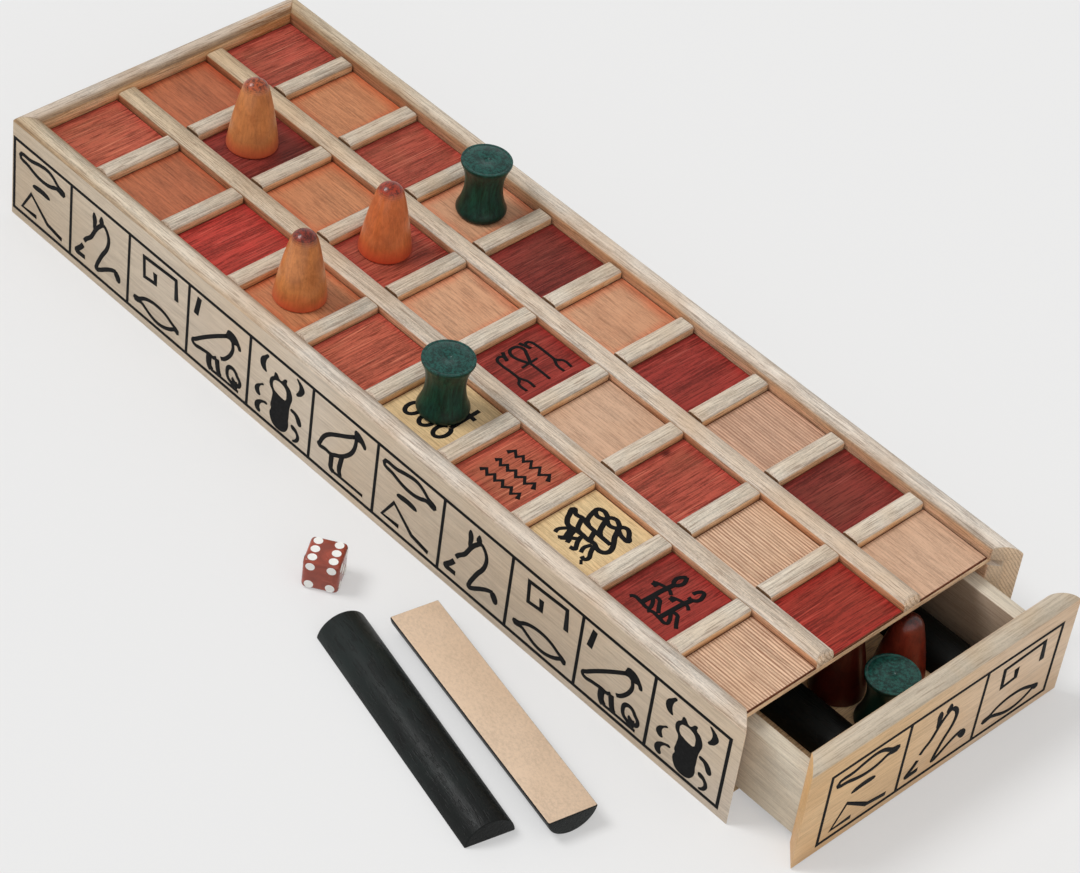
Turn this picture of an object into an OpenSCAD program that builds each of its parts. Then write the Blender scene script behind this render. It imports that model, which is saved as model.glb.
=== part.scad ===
// Senet board with its drawer and playing pieces.
// Origin: centre of the case's underside. X runs along the case to the drawer,
// Y across it from the near side to the far side, Z up. Sizes are in millimetres.

/* [Squares] */
// Clear length of one square along the board
square_l = 30; // [26:0.5:40]
// Clear width of one square across the board
square_w = 34; // [28:0.5:44]
// Depth of the squares' faces below the crown of the rails
square_drop = 6; // [4.5:0.1:10]
// Thickness of the stained veneer squares
veneer_t = 0.8; // [0.5:0.1:1.5]
// Glue gap round a veneer square
veneer_gap = 0.1; // [0.05:0.05:0.3]

/* [Dividers] */
// Width of the short strips between the squares of one row
strip_w = 7; // [4:0.5:10]
// Width of the two dividers that run the whole length
divider_w = 8; // [5:0.5:12]
// Height of strips and dividers above the squares
strip_h = 3.8; // [2:0.1:5.5]
// Drop from the crown of a strip or divider to its upright sides
strip_drop = 1.3; // [0.5:0.1:3]
// Gap between the end of a strip or divider and what it butts against
strip_gap = 0.6; // [0.05:0.05:1]
// Length of the bevels on the ends of strips and dividers
strip_bevel = 0.8; // [0.3:0.1:1.2]
// Length of the bevel on each divider's end over the drawer
divider_bevel = 2; // [0.5:0.5:3]

/* [Case] */
// Thickness of the rails and of the drawer front
rail_t = 8; // [6:0.5:12]
// Height of the rails at the crown
rail_h = 45.5; // [45:0.5:64]
// Drop from the crown to the rail's upright faces
crown_drop = 2.4; // [1:0.1:3]
// Thickness of the board that carries the squares
panel_t = 2.2; // [1.5:0.1:5]
// Depth of the groove that holds the board
groove_d = 3.5; // [2:0.5:4.5]
// Play of the board in its groove
groove_play = 0.3; // [0.1:0.1:0.5]
// Distance from the drawer front's back to the board's free edge
panel_setback = 0.5; // [0.3:0.1:2]
// Thickness of the bottom board
base_t = 3; // [2:0.5:5]
// Width of the rebate that holds the bottom board
base_rebate = 4; // [2:0.5:5]

/* [Drawer] */
// How far the drawer stands open
drawer_open = 26; // [0:1:200]
// Thickness of the drawer's sides
drawer_side_t = 6.3; // [4:0.1:9]
// Thickness of the drawer's back
drawer_back_t = 6; // [4:0.5:9]
// Gap over the drawer's sides, under the board
drawer_gap_top = 5; // [1:0.5:12]
// Thickness of the drawer's floor
drawer_floor_t = 2.2; // [1.5:0.1:4]
// Running gap under the drawer
drawer_run_gap = 0.3; // [0.2:0.1:1]
// Side gap between the drawer and the near rail
drawer_gap_near = 4; // [1:0.5:8]
// Side gap between the drawer and the far rail
drawer_gap_far = 1; // [0.5:0.5:5]
// Gap behind the drawer when it is shut
drawer_gap_end = 3; // [1:1:60]
// Depth of the housings that join the drawer's boards
housing_d = 2.5; // [1:0.5:4]
// Gap under the drawer front
front_gap_z = 0.4; // [0.2:0.1:1]
// Distance from the case's near face to the drawer front's near tip
front_gap_near = 3; // [0.6:0.1:5]
// Distance from the case's far face to the drawer front's far tip
front_gap_far = 0.6; // [0.6:0.1:5]

/* [Cone pawns] */
// Diameter of a cone at its foot
cone_d = 19.6; // [14:0.2:24]
// Height of a cone
cone_h = 29.4; // [18:0.2:30]
// Diameter of a cone's round tip
cone_tip_d = 10.6; // [4:0.2:12]
// Radius on a cone's foot
cone_foot_r = 0.8; // [0.2:0.1:2]
// How far a cone's side swells out past a straight line
cone_swell = 0.4; // [0.1:0.1:1]

/* [Spool pawns] */
// Diameter of a spool's top
spool_d = 19; // [14:0.2:24]
// Diameter of a spool's foot
spool_foot_d = 18.9; // [14:0.2:24]
// Height of a spool
spool_h = 23.6; // [15:0.2:28]
// Diameter of a spool's waist
spool_waist_d = 14.2; // [8:0.2:16]
// Height of the waist above the table
spool_waist_z = 12.6; // [10:0.2:14]
// Height of the upright rim round a spool's top
spool_rim_h = 0.9; // [0.3:0.1:2]
// Radius on a spool's foot
spool_foot_r = 1.8; // [0.5:0.1:2.5]
// Diameter of the turning mark in a spool's top
spool_mark_d = 2.2; // [1:0.1:4]
// Depth of the turning mark
spool_mark_h = 0.5; // [0.2:0.1:1]

/* [Throw sticks and die] */
// Length of a throw stick
stick_l = 101; // [60:1:140]
// Width of a throw stick's flat side
stick_w = 18.7; // [12:0.1:20]
// Thickness of a throw stick
stick_h = 8.6; // [4:0.1:9]
// Side of the die
die_a = 13; // [10:0.5:18]
// Radius on the die's edges
die_r = 1.6; // [0.5:0.1:2]
// Play between pieces that lie side by side in the drawer
piece_play = 0.4; // [0.3:0.1:1]

/* [Hidden] */
$fn = 96;
columns = 10;
rows = 3;
NEAR = 0;
MIDDLE = 1;
FAR = 2;

// The lattice of squares
pitch_x = square_l + strip_w;
pitch_y = square_w + divider_w;
inner_l = columns * pitch_x - strip_w;
inner_w = rows * pitch_y - divider_w;
case_l = inner_l + 2 * rail_t;
case_w = inner_w + 2 * rail_t;

// Heights
square_z = rail_h - square_drop;
panel_top = square_z - veneer_t;
panel_z = panel_top - panel_t;
drawer_z = base_t + drawer_run_gap;
drawer_h = panel_z - drawer_gap_top - drawer_z;
floor_top = drawer_z + drawer_floor_t;

// The drawer, at the place where it stands open
front_x = case_l / 2 + drawer_open;
front_back_x = front_x - rail_t;
front_near_y = -case_w / 2 + front_gap_near;
front_far_y = case_w / 2 - front_gap_far;
drawer_l = inner_l - drawer_gap_end;
drawer_near_y = -inner_w / 2 + drawer_gap_near;
drawer_far_y = inner_w / 2 - drawer_gap_far;
drawer_end_x = front_back_x - drawer_l;
drawer_near_in = drawer_near_y + drawer_side_t;
drawer_far_in = drawer_far_y - drawer_side_t;
floor_rebate = drawer_side_t / 2;

// Radius of the circle through both ends of a chord and a crown that rises above it
function arc_radius(half_chord, rise) = (pow(half_chord, 2) + pow(rise, 2)) / (2 * rise);

// Where a square lies: its low corner and its centre
function square_x0(i) = -inner_l / 2 + i * pitch_x;
function square_y0(j) = -inner_w / 2 + j * pitch_y;
function square_cx(i) = square_x0(i) + square_l / 2;
function square_cy(j) = square_y0(j) + square_w / 2;

// Squares of one row that are stained red, and those that are left pale
function red_columns(j) = [for (i = [0 : columns - 1]) if ((i + j) % 2 == 0) i];
function pale_columns(j) = [for (i = [0 : columns - 1]) if ((i + j) % 2 == 1) i];
function without(list, marked) = [for (i = list) if (len([for (m = marked) if (m == i) m]) == 0) i];

// The marked squares, by column
beauty_i = 5;
water_i = 6;
truths_i = 7;
figures_i = 8;
rebirth_i = 5;
near_marked = [beauty_i, water_i, truths_i, figures_i];
middle_marked = [rebirth_i];

// A spot on a square, measured from the square's centre
function on_square(i, j, off) = [square_cx(i) + off[0], square_cy(j) + off[1], square_z];

// Pawns in play stand a little off the centres of their squares
cone_1_at = on_square(1, MIDDLE, [-2.8, -0.8]);
cone_2_at = on_square(3, MIDDLE, [-3.2, -0.2]);
cone_3_at = on_square(3, NEAR, [-0.9, 0]);
spool_1_at = on_square(3, FAR, [1.3, 0.5]);
spool_2_at = on_square(5, NEAR, [-1, 1.4]);

// In the drawer two sticks leave a lane between them that is two pawns wide
pawn_d = max(cone_d, spool_d);
stick_front_gap = 1.5;
stick_x = front_back_x - stick_front_gap - stick_l / 2;
stick_far_y = drawer_far_in - 2 * piece_play - stick_w / 2;
lane_far_y = stick_far_y - stick_w / 2 - piece_play - pawn_d / 2;
lane_near_y = lane_far_y - pawn_d - piece_play;
stick_near_y = lane_near_y - pawn_d / 2 - piece_play - stick_w / 2;

// A spot in the drawer, so many pawn widths behind its front
function in_drawer(widths, y) = [front_back_x - widths * pawn_d, y, floor_top];

spool_3_at = in_drawer(0.76, lane_near_y);
cone_4_at = in_drawer(1.33, lane_far_y - piece_play);
cone_5_at = in_drawer(1.8, lane_near_y);
spool_4_at = in_drawer(2.95, lane_near_y);
spool_5_at = in_drawer(2.95, lane_far_y);

// Pieces on the table, measured from the case's near corner at the drawer's end
function on_table(x, y) = [case_l / 2 - x, -case_w / 2 - y, 0];

stick_3_at = on_table(91.5, 53.7);
stick_3_turn = -12.8;
stick_4_at = on_table(78.2, 32.3);
stick_4_turn = -11.4;
die_at = on_table(162.6, 31.6);
die_turn = 35;

// Shared shapes

// Section of a rail, strip or divider: upright sides under one flat arc
module crown_section(width, height, drop, foot = 0) {
    arc = arc_radius(width / 2, drop);
    intersection() {
        translate([0, foot]) square([width, height - foot]);
        union() {
            square([width, height - drop]);
            translate([width / 2, height - arc]) circle(r = arc);
        }
    }
}

// A length of rail along X with its outer face at Y 0, mitred at 45 degrees at both ends
module mitred_rail(length, foot = 0) {
    intersection() {
        rotate([90, 0, 90]) linear_extrude(length) crown_section(rail_t, rail_h, crown_drop, foot);
        linear_extrude(rail_h + 1)
            polygon([[0, 0], [length, 0], [length - rail_t, rail_t], [rail_t, rail_t]]);
    }
}

// A case rail: mitred, grooved for the playing board and rebated for the bottom board
module case_rail(length) {
    difference() {
        mitred_rail(length);
        translate([-1, rail_t - groove_d, panel_z])
            cube([length + 2, groove_d + 1, panel_t + groove_play / 2]);
        translate([-1, rail_t - base_rebate, -1])
            cube([length + 2, base_rebate + 1, base_t + 1]);
    }
}

// A crowned bar along X that stands on the playing board, with a bevel at each end
module bevelled_bar(length, width, low_bevel, high_bevel) {
    height = strip_h + veneer_t;
    intersection() {
        rotate([90, 0, 90]) linear_extrude(length) crown_section(width, height, strip_drop);
        rotate([90, 0, 0]) translate([0, 0, -width - 1])
            linear_extrude(width + 2)
                polygon([[0, 0], [length, 0], [length, height - high_bevel],
                    [length - high_bevel, height], [low_bevel, height], [0, height - low_bevel]]);
    }
}

// One short strip across a row, at the high end of a column
module short_strip(i, j) {
    translate([square_x0(i) + pitch_x, square_y0(j) + strip_gap, panel_top])
        rotate([0, 0, 90])
            bevelled_bar(square_w - 2 * strip_gap, strip_w, strip_bevel, strip_bevel);
}

module strip_row(j) {
    color("wheat") for (i = [0 : columns - 2]) short_strip(i, j);
}

// A divider between two rows, bevelled more where it ends over the drawer
module long_divider(j) {
    color("wheat") translate([square_x0(0) + strip_gap, square_y0(j) + square_w, panel_top])
        bevelled_bar(inner_l - strip_gap - panel_setback, divider_w, strip_bevel, divider_bevel);
}

// Veneer squares of one row, glued to the playing board
module veneer_squares(list, j, tint) {
    color(tint) for (i = list)
        translate([square_x0(i) + veneer_gap, square_y0(j) + veneer_gap, panel_top])
            cube([square_l - 2 * veneer_gap - (i == columns - 1 ? panel_setback : 0),
                square_w - 2 * veneer_gap, veneer_t]);
}

// Half the section of a cone: one slightly swelling arc runs smoothly from the round
// foot into the round tip
module cone_section() {
    tip_r = cone_tip_d / 2;
    tip = [0, cone_h - tip_r];
    foot = [cone_d / 2 - cone_foot_r, cone_foot_r];
    chord = norm(tip - foot);
    up = (tip - foot) / chord;
    side_r = arc_radius(chord / 2, cone_swell);
    // Centre of the side's arc, which touches both round ends from outside
    along = (pow(side_r - cone_foot_r, 2) - pow(side_r - tip_r, 2) + pow(chord, 2)) / (2 * chord);
    back = sqrt(pow(side_r - cone_foot_r, 2) - pow(along, 2));
    centre = foot + along * up + back * [-up[1], up[0]];
    low_z = centre[1] + side_r * (foot - centre)[1] / (side_r - cone_foot_r);
    high_z = centre[1] + side_r * (tip - centre)[1] / (side_r - tip_r);
    union() {
        square([foot[0], low_z]);
        intersection() {
            translate(foot) circle(r = cone_foot_r);
            square([cone_d, low_z]);
        }
        intersection() {
            translate(centre) circle(r = side_r, $fn = 360);
            translate([0, low_z]) square([cone_d, high_z - low_z]);
        }
        intersection() {
            translate(tip) circle(r = tip_r);
            square([tip_r, cone_h]);
        }
    }
}

module cone_pawn(at) {
    color("peru") translate(at) rotate_extrude() cone_section();
}

// Half the section of a spool: two hollow arcs meet at the waist, the lower one runs
// smoothly into the round foot, the upper one ends under a thin rim
module spool_section() {
    top_r = spool_d / 2;
    waist_r = spool_waist_d / 2;
    rim_z = spool_h - spool_rim_h;
    top_arc = arc_radius(rim_z - spool_waist_z, top_r - waist_r);
    // Centre of the foot's round edge, and the hollow arc that touches it
    foot = [spool_foot_d / 2 - spool_foot_r, spool_foot_r];
    up = spool_waist_z - foot[1];
    out = foot[0] - waist_r;
    low_arc = (pow(out, 2) + pow(up, 2) - pow(spool_foot_r, 2)) / (2 * (out + spool_foot_r));
    touch_z = spool_waist_z - up * low_arc / (low_arc + spool_foot_r);
    union() {
        square([foot[0], touch_z]);
        intersection() {
            translate(foot) circle(r = spool_foot_r);
            square([foot[0] + spool_foot_r, touch_z]);
        }
        difference() {
            translate([0, touch_z]) square([top_r, spool_waist_z - touch_z]);
            translate([waist_r + low_arc, spool_waist_z]) circle(r = low_arc, $fn = 180);
        }
        difference() {
            translate([0, spool_waist_z]) square([top_r, spool_h - spool_waist_z]);
            intersection() {
                translate([waist_r + top_arc, spool_waist_z]) circle(r = top_arc, $fn = 180);
                square([top_r, rim_z]);
            }
            translate([0, spool_h - spool_mark_h]) square([spool_mark_d / 2, spool_mark_h]);
        }
    }
}

module spool_pawn(at) {
    color("darkslategray") translate(at) rotate_extrude() spool_section();
}

// Section of a throw stick: flat below, one arc above
module stick_section() {
    arc = arc_radius(stick_w / 2, stick_h);
    intersection() {
        translate([-stick_w / 2, 0]) square([stick_w, stick_h]);
        translate([0, stick_h - arc]) circle(r = arc, $fn = 180);
    }
}

// A stick along X about its own middle, its flat side down or up
module throw_stick(at, turn = 0, flat_up = false) {
    color(flat_up ? "burlywood" : "black")
        translate(at) rotate([0, 0, turn])
            translate([0, 0, flat_up ? stick_h : 0]) rotate([flat_up ? 180 : 0, 0, 0])
                translate([-stick_l / 2, 0, 0])
                    rotate([90, 0, 90]) linear_extrude(stick_l) stick_section();
}

// A side of the drawer, with its inner face at Y 0 and its thickness along +Y
module drawer_side() {
    length = drawer_l + housing_d;
    difference() {
        cube([length, drawer_side_t, drawer_h]);
        // rebate for the floor
        translate([-1, -1, -1]) cube([length + 2, floor_rebate + 1, drawer_floor_t + 1]);
        // housing for the back
        translate([drawer_side_t, -1, -1])
            cube([drawer_back_t, housing_d + 1, drawer_h + 2]);
    }
}

// Sub-parts of the case

module near_side_rail() {
    color("wheat") translate([-case_l / 2, -case_w / 2, 0]) case_rail(case_l);
}

module far_side_rail() {
    color("wheat") translate([-case_l / 2, case_w / 2, 0]) mirror([0, 1, 0]) case_rail(case_l);
}

module end_rail() {
    color("wheat") translate([-case_l / 2, case_w / 2, 0]) rotate([0, 0, -90]) case_rail(case_w);
}

module base_panel() {
    lap = base_rebate - groove_play;
    color("tan") translate([-inner_l / 2 - lap, -inner_w / 2 - lap, 0])
        cube([inner_l + lap - panel_setback, inner_w + 2 * lap, base_t]);
}

module playing_panel() {
    lap = groove_d - groove_play;
    color("tan") translate([-inner_l / 2 - lap, -inner_w / 2 - lap, panel_z])
        cube([inner_l + lap - panel_setback, inner_w + 2 * lap, panel_t]);
}

module near_long_divider() { long_divider(NEAR); }
module far_long_divider() { long_divider(MIDDLE); }
module near_row_strips() { strip_row(NEAR); }
module middle_row_strips() { strip_row(MIDDLE); }
module far_row_strips() { strip_row(FAR); }

module near_row_red_squares() { veneer_squares(without(red_columns(NEAR), near_marked), NEAR, "firebrick"); }
module near_row_pale_squares() { veneer_squares(without(pale_columns(NEAR), near_marked), NEAR, "sandybrown"); }
module middle_row_red_squares() {
    veneer_squares(without(red_columns(MIDDLE), middle_marked), MIDDLE, "firebrick");
}
module middle_row_pale_squares() { veneer_squares(pale_columns(MIDDLE), MIDDLE, "sandybrown"); }
module far_row_red_squares() { veneer_squares(red_columns(FAR), FAR, "brown"); }
module far_row_pale_squares() { veneer_squares(pale_columns(FAR), FAR, "sandybrown"); }

module beauty_square() { veneer_squares([beauty_i], NEAR, "khaki"); }
module water_square() { veneer_squares([water_i], NEAR, "firebrick"); }
module truths_square() { veneer_squares([truths_i], NEAR, "khaki"); }
module figures_square() { veneer_squares([figures_i], NEAR, "firebrick"); }
module rebirth_square() { veneer_squares([rebirth_i], MIDDLE, "brown"); }

// Sub-parts of the drawer

// The front closes the case as its fourth mitred side, and houses the sides and the floor
module drawer_front() {
    width = front_far_y - front_near_y;
    color("burlywood") difference() {
        translate([front_x, front_near_y, 0]) rotate([0, 0, 90]) mitred_rail(width, front_gap_z);
        translate([front_back_x - 1, drawer_near_y, drawer_z])
            cube([housing_d + 1, drawer_side_t, drawer_h]);
        translate([front_back_x - 1, drawer_far_in, drawer_z])
            cube([housing_d + 1, drawer_side_t, drawer_h]);
        translate([front_back_x - 1, drawer_near_in - floor_rebate, drawer_z])
            cube([housing_d + 1, drawer_far_in - drawer_near_in + 2 * floor_rebate, drawer_floor_t]);
    }
}

module drawer_near_side() {
    color("wheat") translate([drawer_end_x, drawer_near_in, drawer_z]) mirror([0, 1, 0]) drawer_side();
}

module drawer_far_side() {
    color("wheat") translate([drawer_end_x, drawer_far_in, drawer_z]) drawer_side();
}

module drawer_back() {
    color("wheat")
        translate([drawer_end_x + drawer_side_t, drawer_near_in - housing_d, floor_top])
            cube([drawer_back_t, drawer_far_in - drawer_near_in + 2 * housing_d,
                drawer_h - drawer_floor_t]);
}

module drawer_floor() {
    color("tan") translate([drawer_end_x, drawer_near_in - floor_rebate, drawer_z])
        cube([drawer_l + housing_d, drawer_far_in - drawer_near_in + 2 * floor_rebate, drawer_floor_t]);
}

// Playing pieces

module cone_pawn_1() { cone_pawn(cone_1_at); }
module cone_pawn_2() { cone_pawn(cone_2_at); }
module cone_pawn_3() { cone_pawn(cone_3_at); }
module cone_pawn_4() { cone_pawn(cone_4_at); }
module cone_pawn_5() { cone_pawn(cone_5_at); }
module spool_pawn_1() { spool_pawn(spool_1_at); }
module spool_pawn_2() { spool_pawn(spool_2_at); }
module spool_pawn_3() { spool_pawn(spool_3_at); }
module spool_pawn_4() { spool_pawn(spool_4_at); }
module spool_pawn_5() { spool_pawn(spool_5_at); }
module throw_stick_1() { throw_stick([stick_x, stick_near_y, floor_top]); }
module throw_stick_2() { throw_stick([stick_x, stick_far_y, floor_top]); }
module throw_stick_3() { throw_stick(stick_3_at, stick_3_turn); }
module throw_stick_4() { throw_stick(stick_4_at, stick_4_turn, true); }

// The die: three slabs cut the cube's edges round
module die() {
    inner = die_a - 2 * die_r;
    color("brown") translate(die_at) rotate([0, 0, die_turn])
        translate([0, 0, die_a / 2]) intersection() {
            linear_extrude(die_a, center = true) die_face(inner);
            rotate([90, 0, 0]) linear_extrude(die_a, center = true) die_face(inner);
            rotate([0, 90, 0]) linear_extrude(die_a, center = true) die_face(inner);
        }
}

// One face of the die with round corners
module die_face(inner) {
    union() {
        square([inner, die_a], center = true);
        square([die_a, inner], center = true);
        for (a = [-1, 1], b = [-1, 1]) translate([a * inner / 2, b * inner / 2]) circle(r = die_r);
    }
}

near_side_rail();
far_side_rail();
end_rail();
base_panel();
playing_panel();
near_long_divider();
far_long_divider();
near_row_strips();
middle_row_strips();
far_row_strips();
near_row_red_squares();
near_row_pale_squares();
middle_row_red_squares();
middle_row_pale_squares();
far_row_red_squares();
far_row_pale_squares();
beauty_square();
water_square();
truths_square();
figures_square();
rebirth_square();
drawer_front();
drawer_near_side();
drawer_far_side();
drawer_back();
drawer_floor();
cone_pawn_1();
cone_pawn_2();
cone_pawn_3();
cone_pawn_4();
cone_pawn_5();
spool_pawn_1();
spool_pawn_2();
spool_pawn_3();
spool_pawn_4();
spool_pawn_5();
throw_stick_1();
throw_stick_2();
throw_stick_3();
throw_stick_4();
die();
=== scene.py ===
"""Senet board with its drawer and playing pieces: the looks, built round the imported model."""

import math
from contextlib import contextmanager

import bmesh
import bpy
from bpy.props import FloatProperty, FloatVectorProperty, IntProperty, PointerProperty
from mathutils import Matrix, Vector


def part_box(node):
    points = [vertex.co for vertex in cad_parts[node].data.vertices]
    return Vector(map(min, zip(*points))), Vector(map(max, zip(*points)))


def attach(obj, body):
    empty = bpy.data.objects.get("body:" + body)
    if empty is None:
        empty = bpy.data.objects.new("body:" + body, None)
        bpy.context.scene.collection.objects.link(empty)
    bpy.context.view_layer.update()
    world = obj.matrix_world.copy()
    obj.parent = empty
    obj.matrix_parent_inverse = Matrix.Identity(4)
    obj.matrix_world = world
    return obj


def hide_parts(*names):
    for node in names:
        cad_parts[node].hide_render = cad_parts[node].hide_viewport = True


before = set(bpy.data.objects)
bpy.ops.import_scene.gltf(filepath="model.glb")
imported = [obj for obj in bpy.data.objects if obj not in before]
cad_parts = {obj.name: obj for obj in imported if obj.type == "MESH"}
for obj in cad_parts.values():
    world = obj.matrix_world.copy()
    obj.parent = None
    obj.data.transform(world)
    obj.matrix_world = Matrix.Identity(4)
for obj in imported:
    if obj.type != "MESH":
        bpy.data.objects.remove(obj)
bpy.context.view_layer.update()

bl_info = {
    "name": "Senet Board",
    "version": (1, 0, 0),
    "blender": (4, 5, 0),
    "location": "View3D > Sidebar > Senet",
    "description": "Finishes a wooden senet board with its drawer, pawns, throw sticks and die",
    "category": "Mesh",
}

MM = 0.001
DOUBLE = 0.002 * MM  # points that lie closer than this are one point
ROWS = ("near_row", "middle_row", "far_row")

# Places on the board, from the middle of the case
PITCH = (37 * MM, 42 * MM)  # from one square to the next
CLEAR = (15 * MM, 17 * MM)  # from a square's middle to where pooled stain is darkest
SQUARES_Z = 39.5 * MM  # the squares' upper side
FIELD_X = -182 * MM  # inner side of the end rail
FIELD_Y = 59.5 * MM  # inner sides of the long rails
FAR_RAIL_Y = 50 * MM  # beyond this lies only the far rail
KNOT = (79.5 * MM, 6.5 * MM)  # in a brick red square


# Colours, as they are seen on the wood

def srgb(red, green, blue):
    """A colour given from 0 to 255 as Blender's linear values."""
    return tuple(
        (c / 255 / 12.92) if c <= 10 else ((c / 255 + 0.055) / 1.055) ** 2.4
        for c in (red, green, blue)
    )


def colour(label, note, *value):
    """A colour property whose default is written from 0 to 255."""
    return FloatVectorProperty(
        name=label, description=note, subtype="COLOR", size=3, min=0, max=1, default=srgb(*value)
    )


def length(label, note, value, low, high):
    """A length property in millimetres, kept in metres."""
    return FloatProperty(
        name=label, description=note, default=value * MM, min=low * MM, max=high * MM,
        unit="LENGTH", precision=5, step=0.01,
    )


def setting(label, note, value, high, kind="NONE"):
    """A property for a level or an angle that starts at 0."""
    return FloatProperty(
        name=label, description=note, default=value, min=0, max=high, subtype=kind
    )


class SenetWoodColours(bpy.types.PropertyGroup):
    """Colours of the plain and stained woods."""

    ash: colour("Ash", "Pale wood of the rails, dividers and strips", 212, 201, 188)
    honey: colour("Honey", "Wood of the drawer front", 196, 182, 162)
    board: colour("Board", "Wood of the boards inside the case", 205, 176, 136)
    drawer: colour("Drawer", "Wood of the drawer's sides", 212, 202, 184)
    maroon: colour("Maroon", "Darkest red stain", 123, 48, 41)
    oxblood: colour("Oxblood", "Deep red stain", 140, 50, 43)
    brick: colour("Brick", "Brick red stain", 162, 74, 59)
    crimson: colour("Crimson", "Strong red stain", 150, 50, 40)
    scarlet: colour("Scarlet", "Bright red stain", 172, 60, 51)
    dusty: colour("Dusty red", "Faded red stain", 172, 86, 66)
    amber: colour("Amber", "Orange-brown stain", 170, 98, 65)
    tan: colour("Tan", "Light brown stain", 188, 127, 88)
    peach: colour("Peach", "Pale orange stain", 197, 150, 117)
    rose: colour("Rose", "Pale stain on lined veneer", 206, 168, 142)
    ridged: colour("Ridged", "Pale stain on deeply ridged veneer", 224, 190, 160)
    blush: colour("Blush", "Pale stain on plain veneer", 201, 164, 136)
    straw: colour("Straw", "Unstained yellow veneer", 216, 188, 142)
    cone: colour("Cone", "Orange-brown lacquered wood", 200, 136, 80)
    # Dark cone is painted shade: the darker colour given to the pawns that lie in the drawer
    cone_dark: colour("Dark cone", "Red-brown lacquered wood", 132, 50, 34)
    spool: colour("Spool", "Green-black lacquered wood", 14, 53, 39)
    spool_end: colour("Spool end", "Teal where the end grain soaked up the stain", 20, 60, 54)
    stick: colour("Stick", "Black of the round side", 15, 18, 17)
    stick_flat: colour("Stick flat", "Bare flat side of a throw stick", 213, 187, 161)
    die: colour("Die", "Brown-red of the die", 150, 66, 48)
    pip: colour("Pip", "White of the pips", 240, 240, 236)
    ink: colour("Ink", "Black of the signs and borders", 14, 14, 15)
    table: colour("Table", "Pale floor under the set", 235, 235, 235)


class SenetSizes(bpy.types.PropertyGroup):
    """Sizes of the finishing details."""

    eased: length("Eased edge", "Rounding of the sanded edges of rails and boards", 0.35, 0.05, 1)
    tile_eased: length("Tile edge", "Rounding of a square's upper edges", 0.12, 0.02, 0.4)
    # The dark joint round each square is a joint and also painted shade along the squares' edges
    joint_w: length("Joint width", "Width of the dark joint round each square", 0.25, 0.05, 1)
    border_w: length("Border width", "Width of the printed border lines", 1.4, 0.4, 3)
    ink_h: length("Ink height", "Thickness of the printed ink", 0.06, 0.02, 0.2)
    side_foot: length("Side border foot", "Height of the lower border line", 3.9, 1, 20)
    side_head: length("Side border head", "Height of the upper border line", 36.2, 20, 45)
    cell_l: length("Side cell", "Length of one cell on the case's side", 33.84, 20, 50)
    front_cell_l: length("Front cell", "Length of one cell on the drawer front", 37.4, 20, 50)
    pip_r: length("Pip radius", "Radius of one pip", 1.65, 0.5, 2.5)
    die_r: length("Die radius", "Rounding of the die's edges", 1.6, 0.3, 3)
    turned_sides: IntProperty(
        name="Turned sides", description="Sides of a turned piece", default=72, min=16, max=128
    )


class SenetLight(bpy.types.PropertyGroup):
    """Strength of the studio light."""

    sky: setting("Sky", "Level of the light all round", 0.5, 2)
    sun: setting("Sun", "Level of the soft key light", 1.7, 5)
    fill: setting("Fill", "Level of the fill light", 0.45, 5)
    softness: setting("Softness", "Angle of the key light", math.radians(24), math.pi, "ANGLE")
    shadow: setting("Shadow", "How much of the shadow the floor shows", 0.55, 1, "FACTOR")


# Small steps that every piece is made with

def select_only(*pieces):
    bpy.ops.object.select_all(action="DESELECT")
    for piece in pieces:
        piece.select_set(True)
    bpy.context.view_layer.objects.active = pieces[0]


@contextmanager
def editing(piece):
    """Work on one piece in edit mode."""
    select_only(piece)
    bpy.ops.object.mode_set(mode="EDIT")
    try:
        yield
    finally:
        bpy.ops.object.mode_set(mode="OBJECT")


def pick(test, kind="FACE"):
    """Select the faces, edges or vertices that pass a test on their place or normal."""
    bpy.ops.mesh.select_mode(type=kind)
    bpy.ops.mesh.select_all(action="DESELECT")
    mesh = bpy.context.edit_object.data
    shape = bmesh.from_edit_mesh(mesh)
    parts = {"FACE": shape.faces, "EDGE": shape.edges, "VERT": shape.verts}[kind]
    found = [part for part in parts if test(part)]
    for part in found:
        part.select_set(True)
    shape.select_flush_mode()
    bmesh.update_edit_mesh(mesh)
    if not found:
        raise RuntimeError(f"nothing was found to select on {bpy.context.edit_object.name}")


def apply_modifier(piece, kind, **settings):
    select_only(piece)
    modifier = piece.modifiers.new(kind.title(), kind)
    for key, value in settings.items():
        setattr(modifier, key, value)
    bpy.ops.object.modifier_apply(modifier=modifier.name)


def smooth(piece, angle):
    """Shade a piece smooth, apart from edges sharper than an angle in degrees."""
    select_only(piece)
    bpy.ops.object.shade_smooth_by_angle(angle=math.radians(angle))


def ease(piece, width, segments=2, angle=35):
    """Round the sharp edges as sanding does, and shade the rest smooth."""
    apply_modifier(
        piece, "BEVEL", width=width, segments=segments, limit_method="ANGLE",
        angle_limit=math.radians(angle), harden_normals=False,
    )
    smooth(piece, 30)


def place(piece, spot=(0, 0, 0), turn=(0, 0, 0), scale=(1, 1, 1)):
    """Put a piece where it belongs, with its place in its mesh."""
    select_only(piece)
    piece.location = spot
    piece.rotation_euler = turn
    piece.scale = scale
    bpy.ops.object.transform_apply(location=True, rotation=True, scale=True)


def named(name):
    """Name the piece that was just added."""
    piece = bpy.context.active_object
    piece.name = name
    piece.data.name = name
    return piece


def twin(piece, name):
    """A copy of a piece with its own mesh."""
    select_only(piece)
    bpy.ops.object.duplicate()
    return named(name)


def joined(name, pieces):
    select_only(*pieces)
    bpy.ops.object.join()
    return named(name)


def discard(*pieces):
    select_only(*pieces)
    bpy.ops.object.delete()


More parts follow.
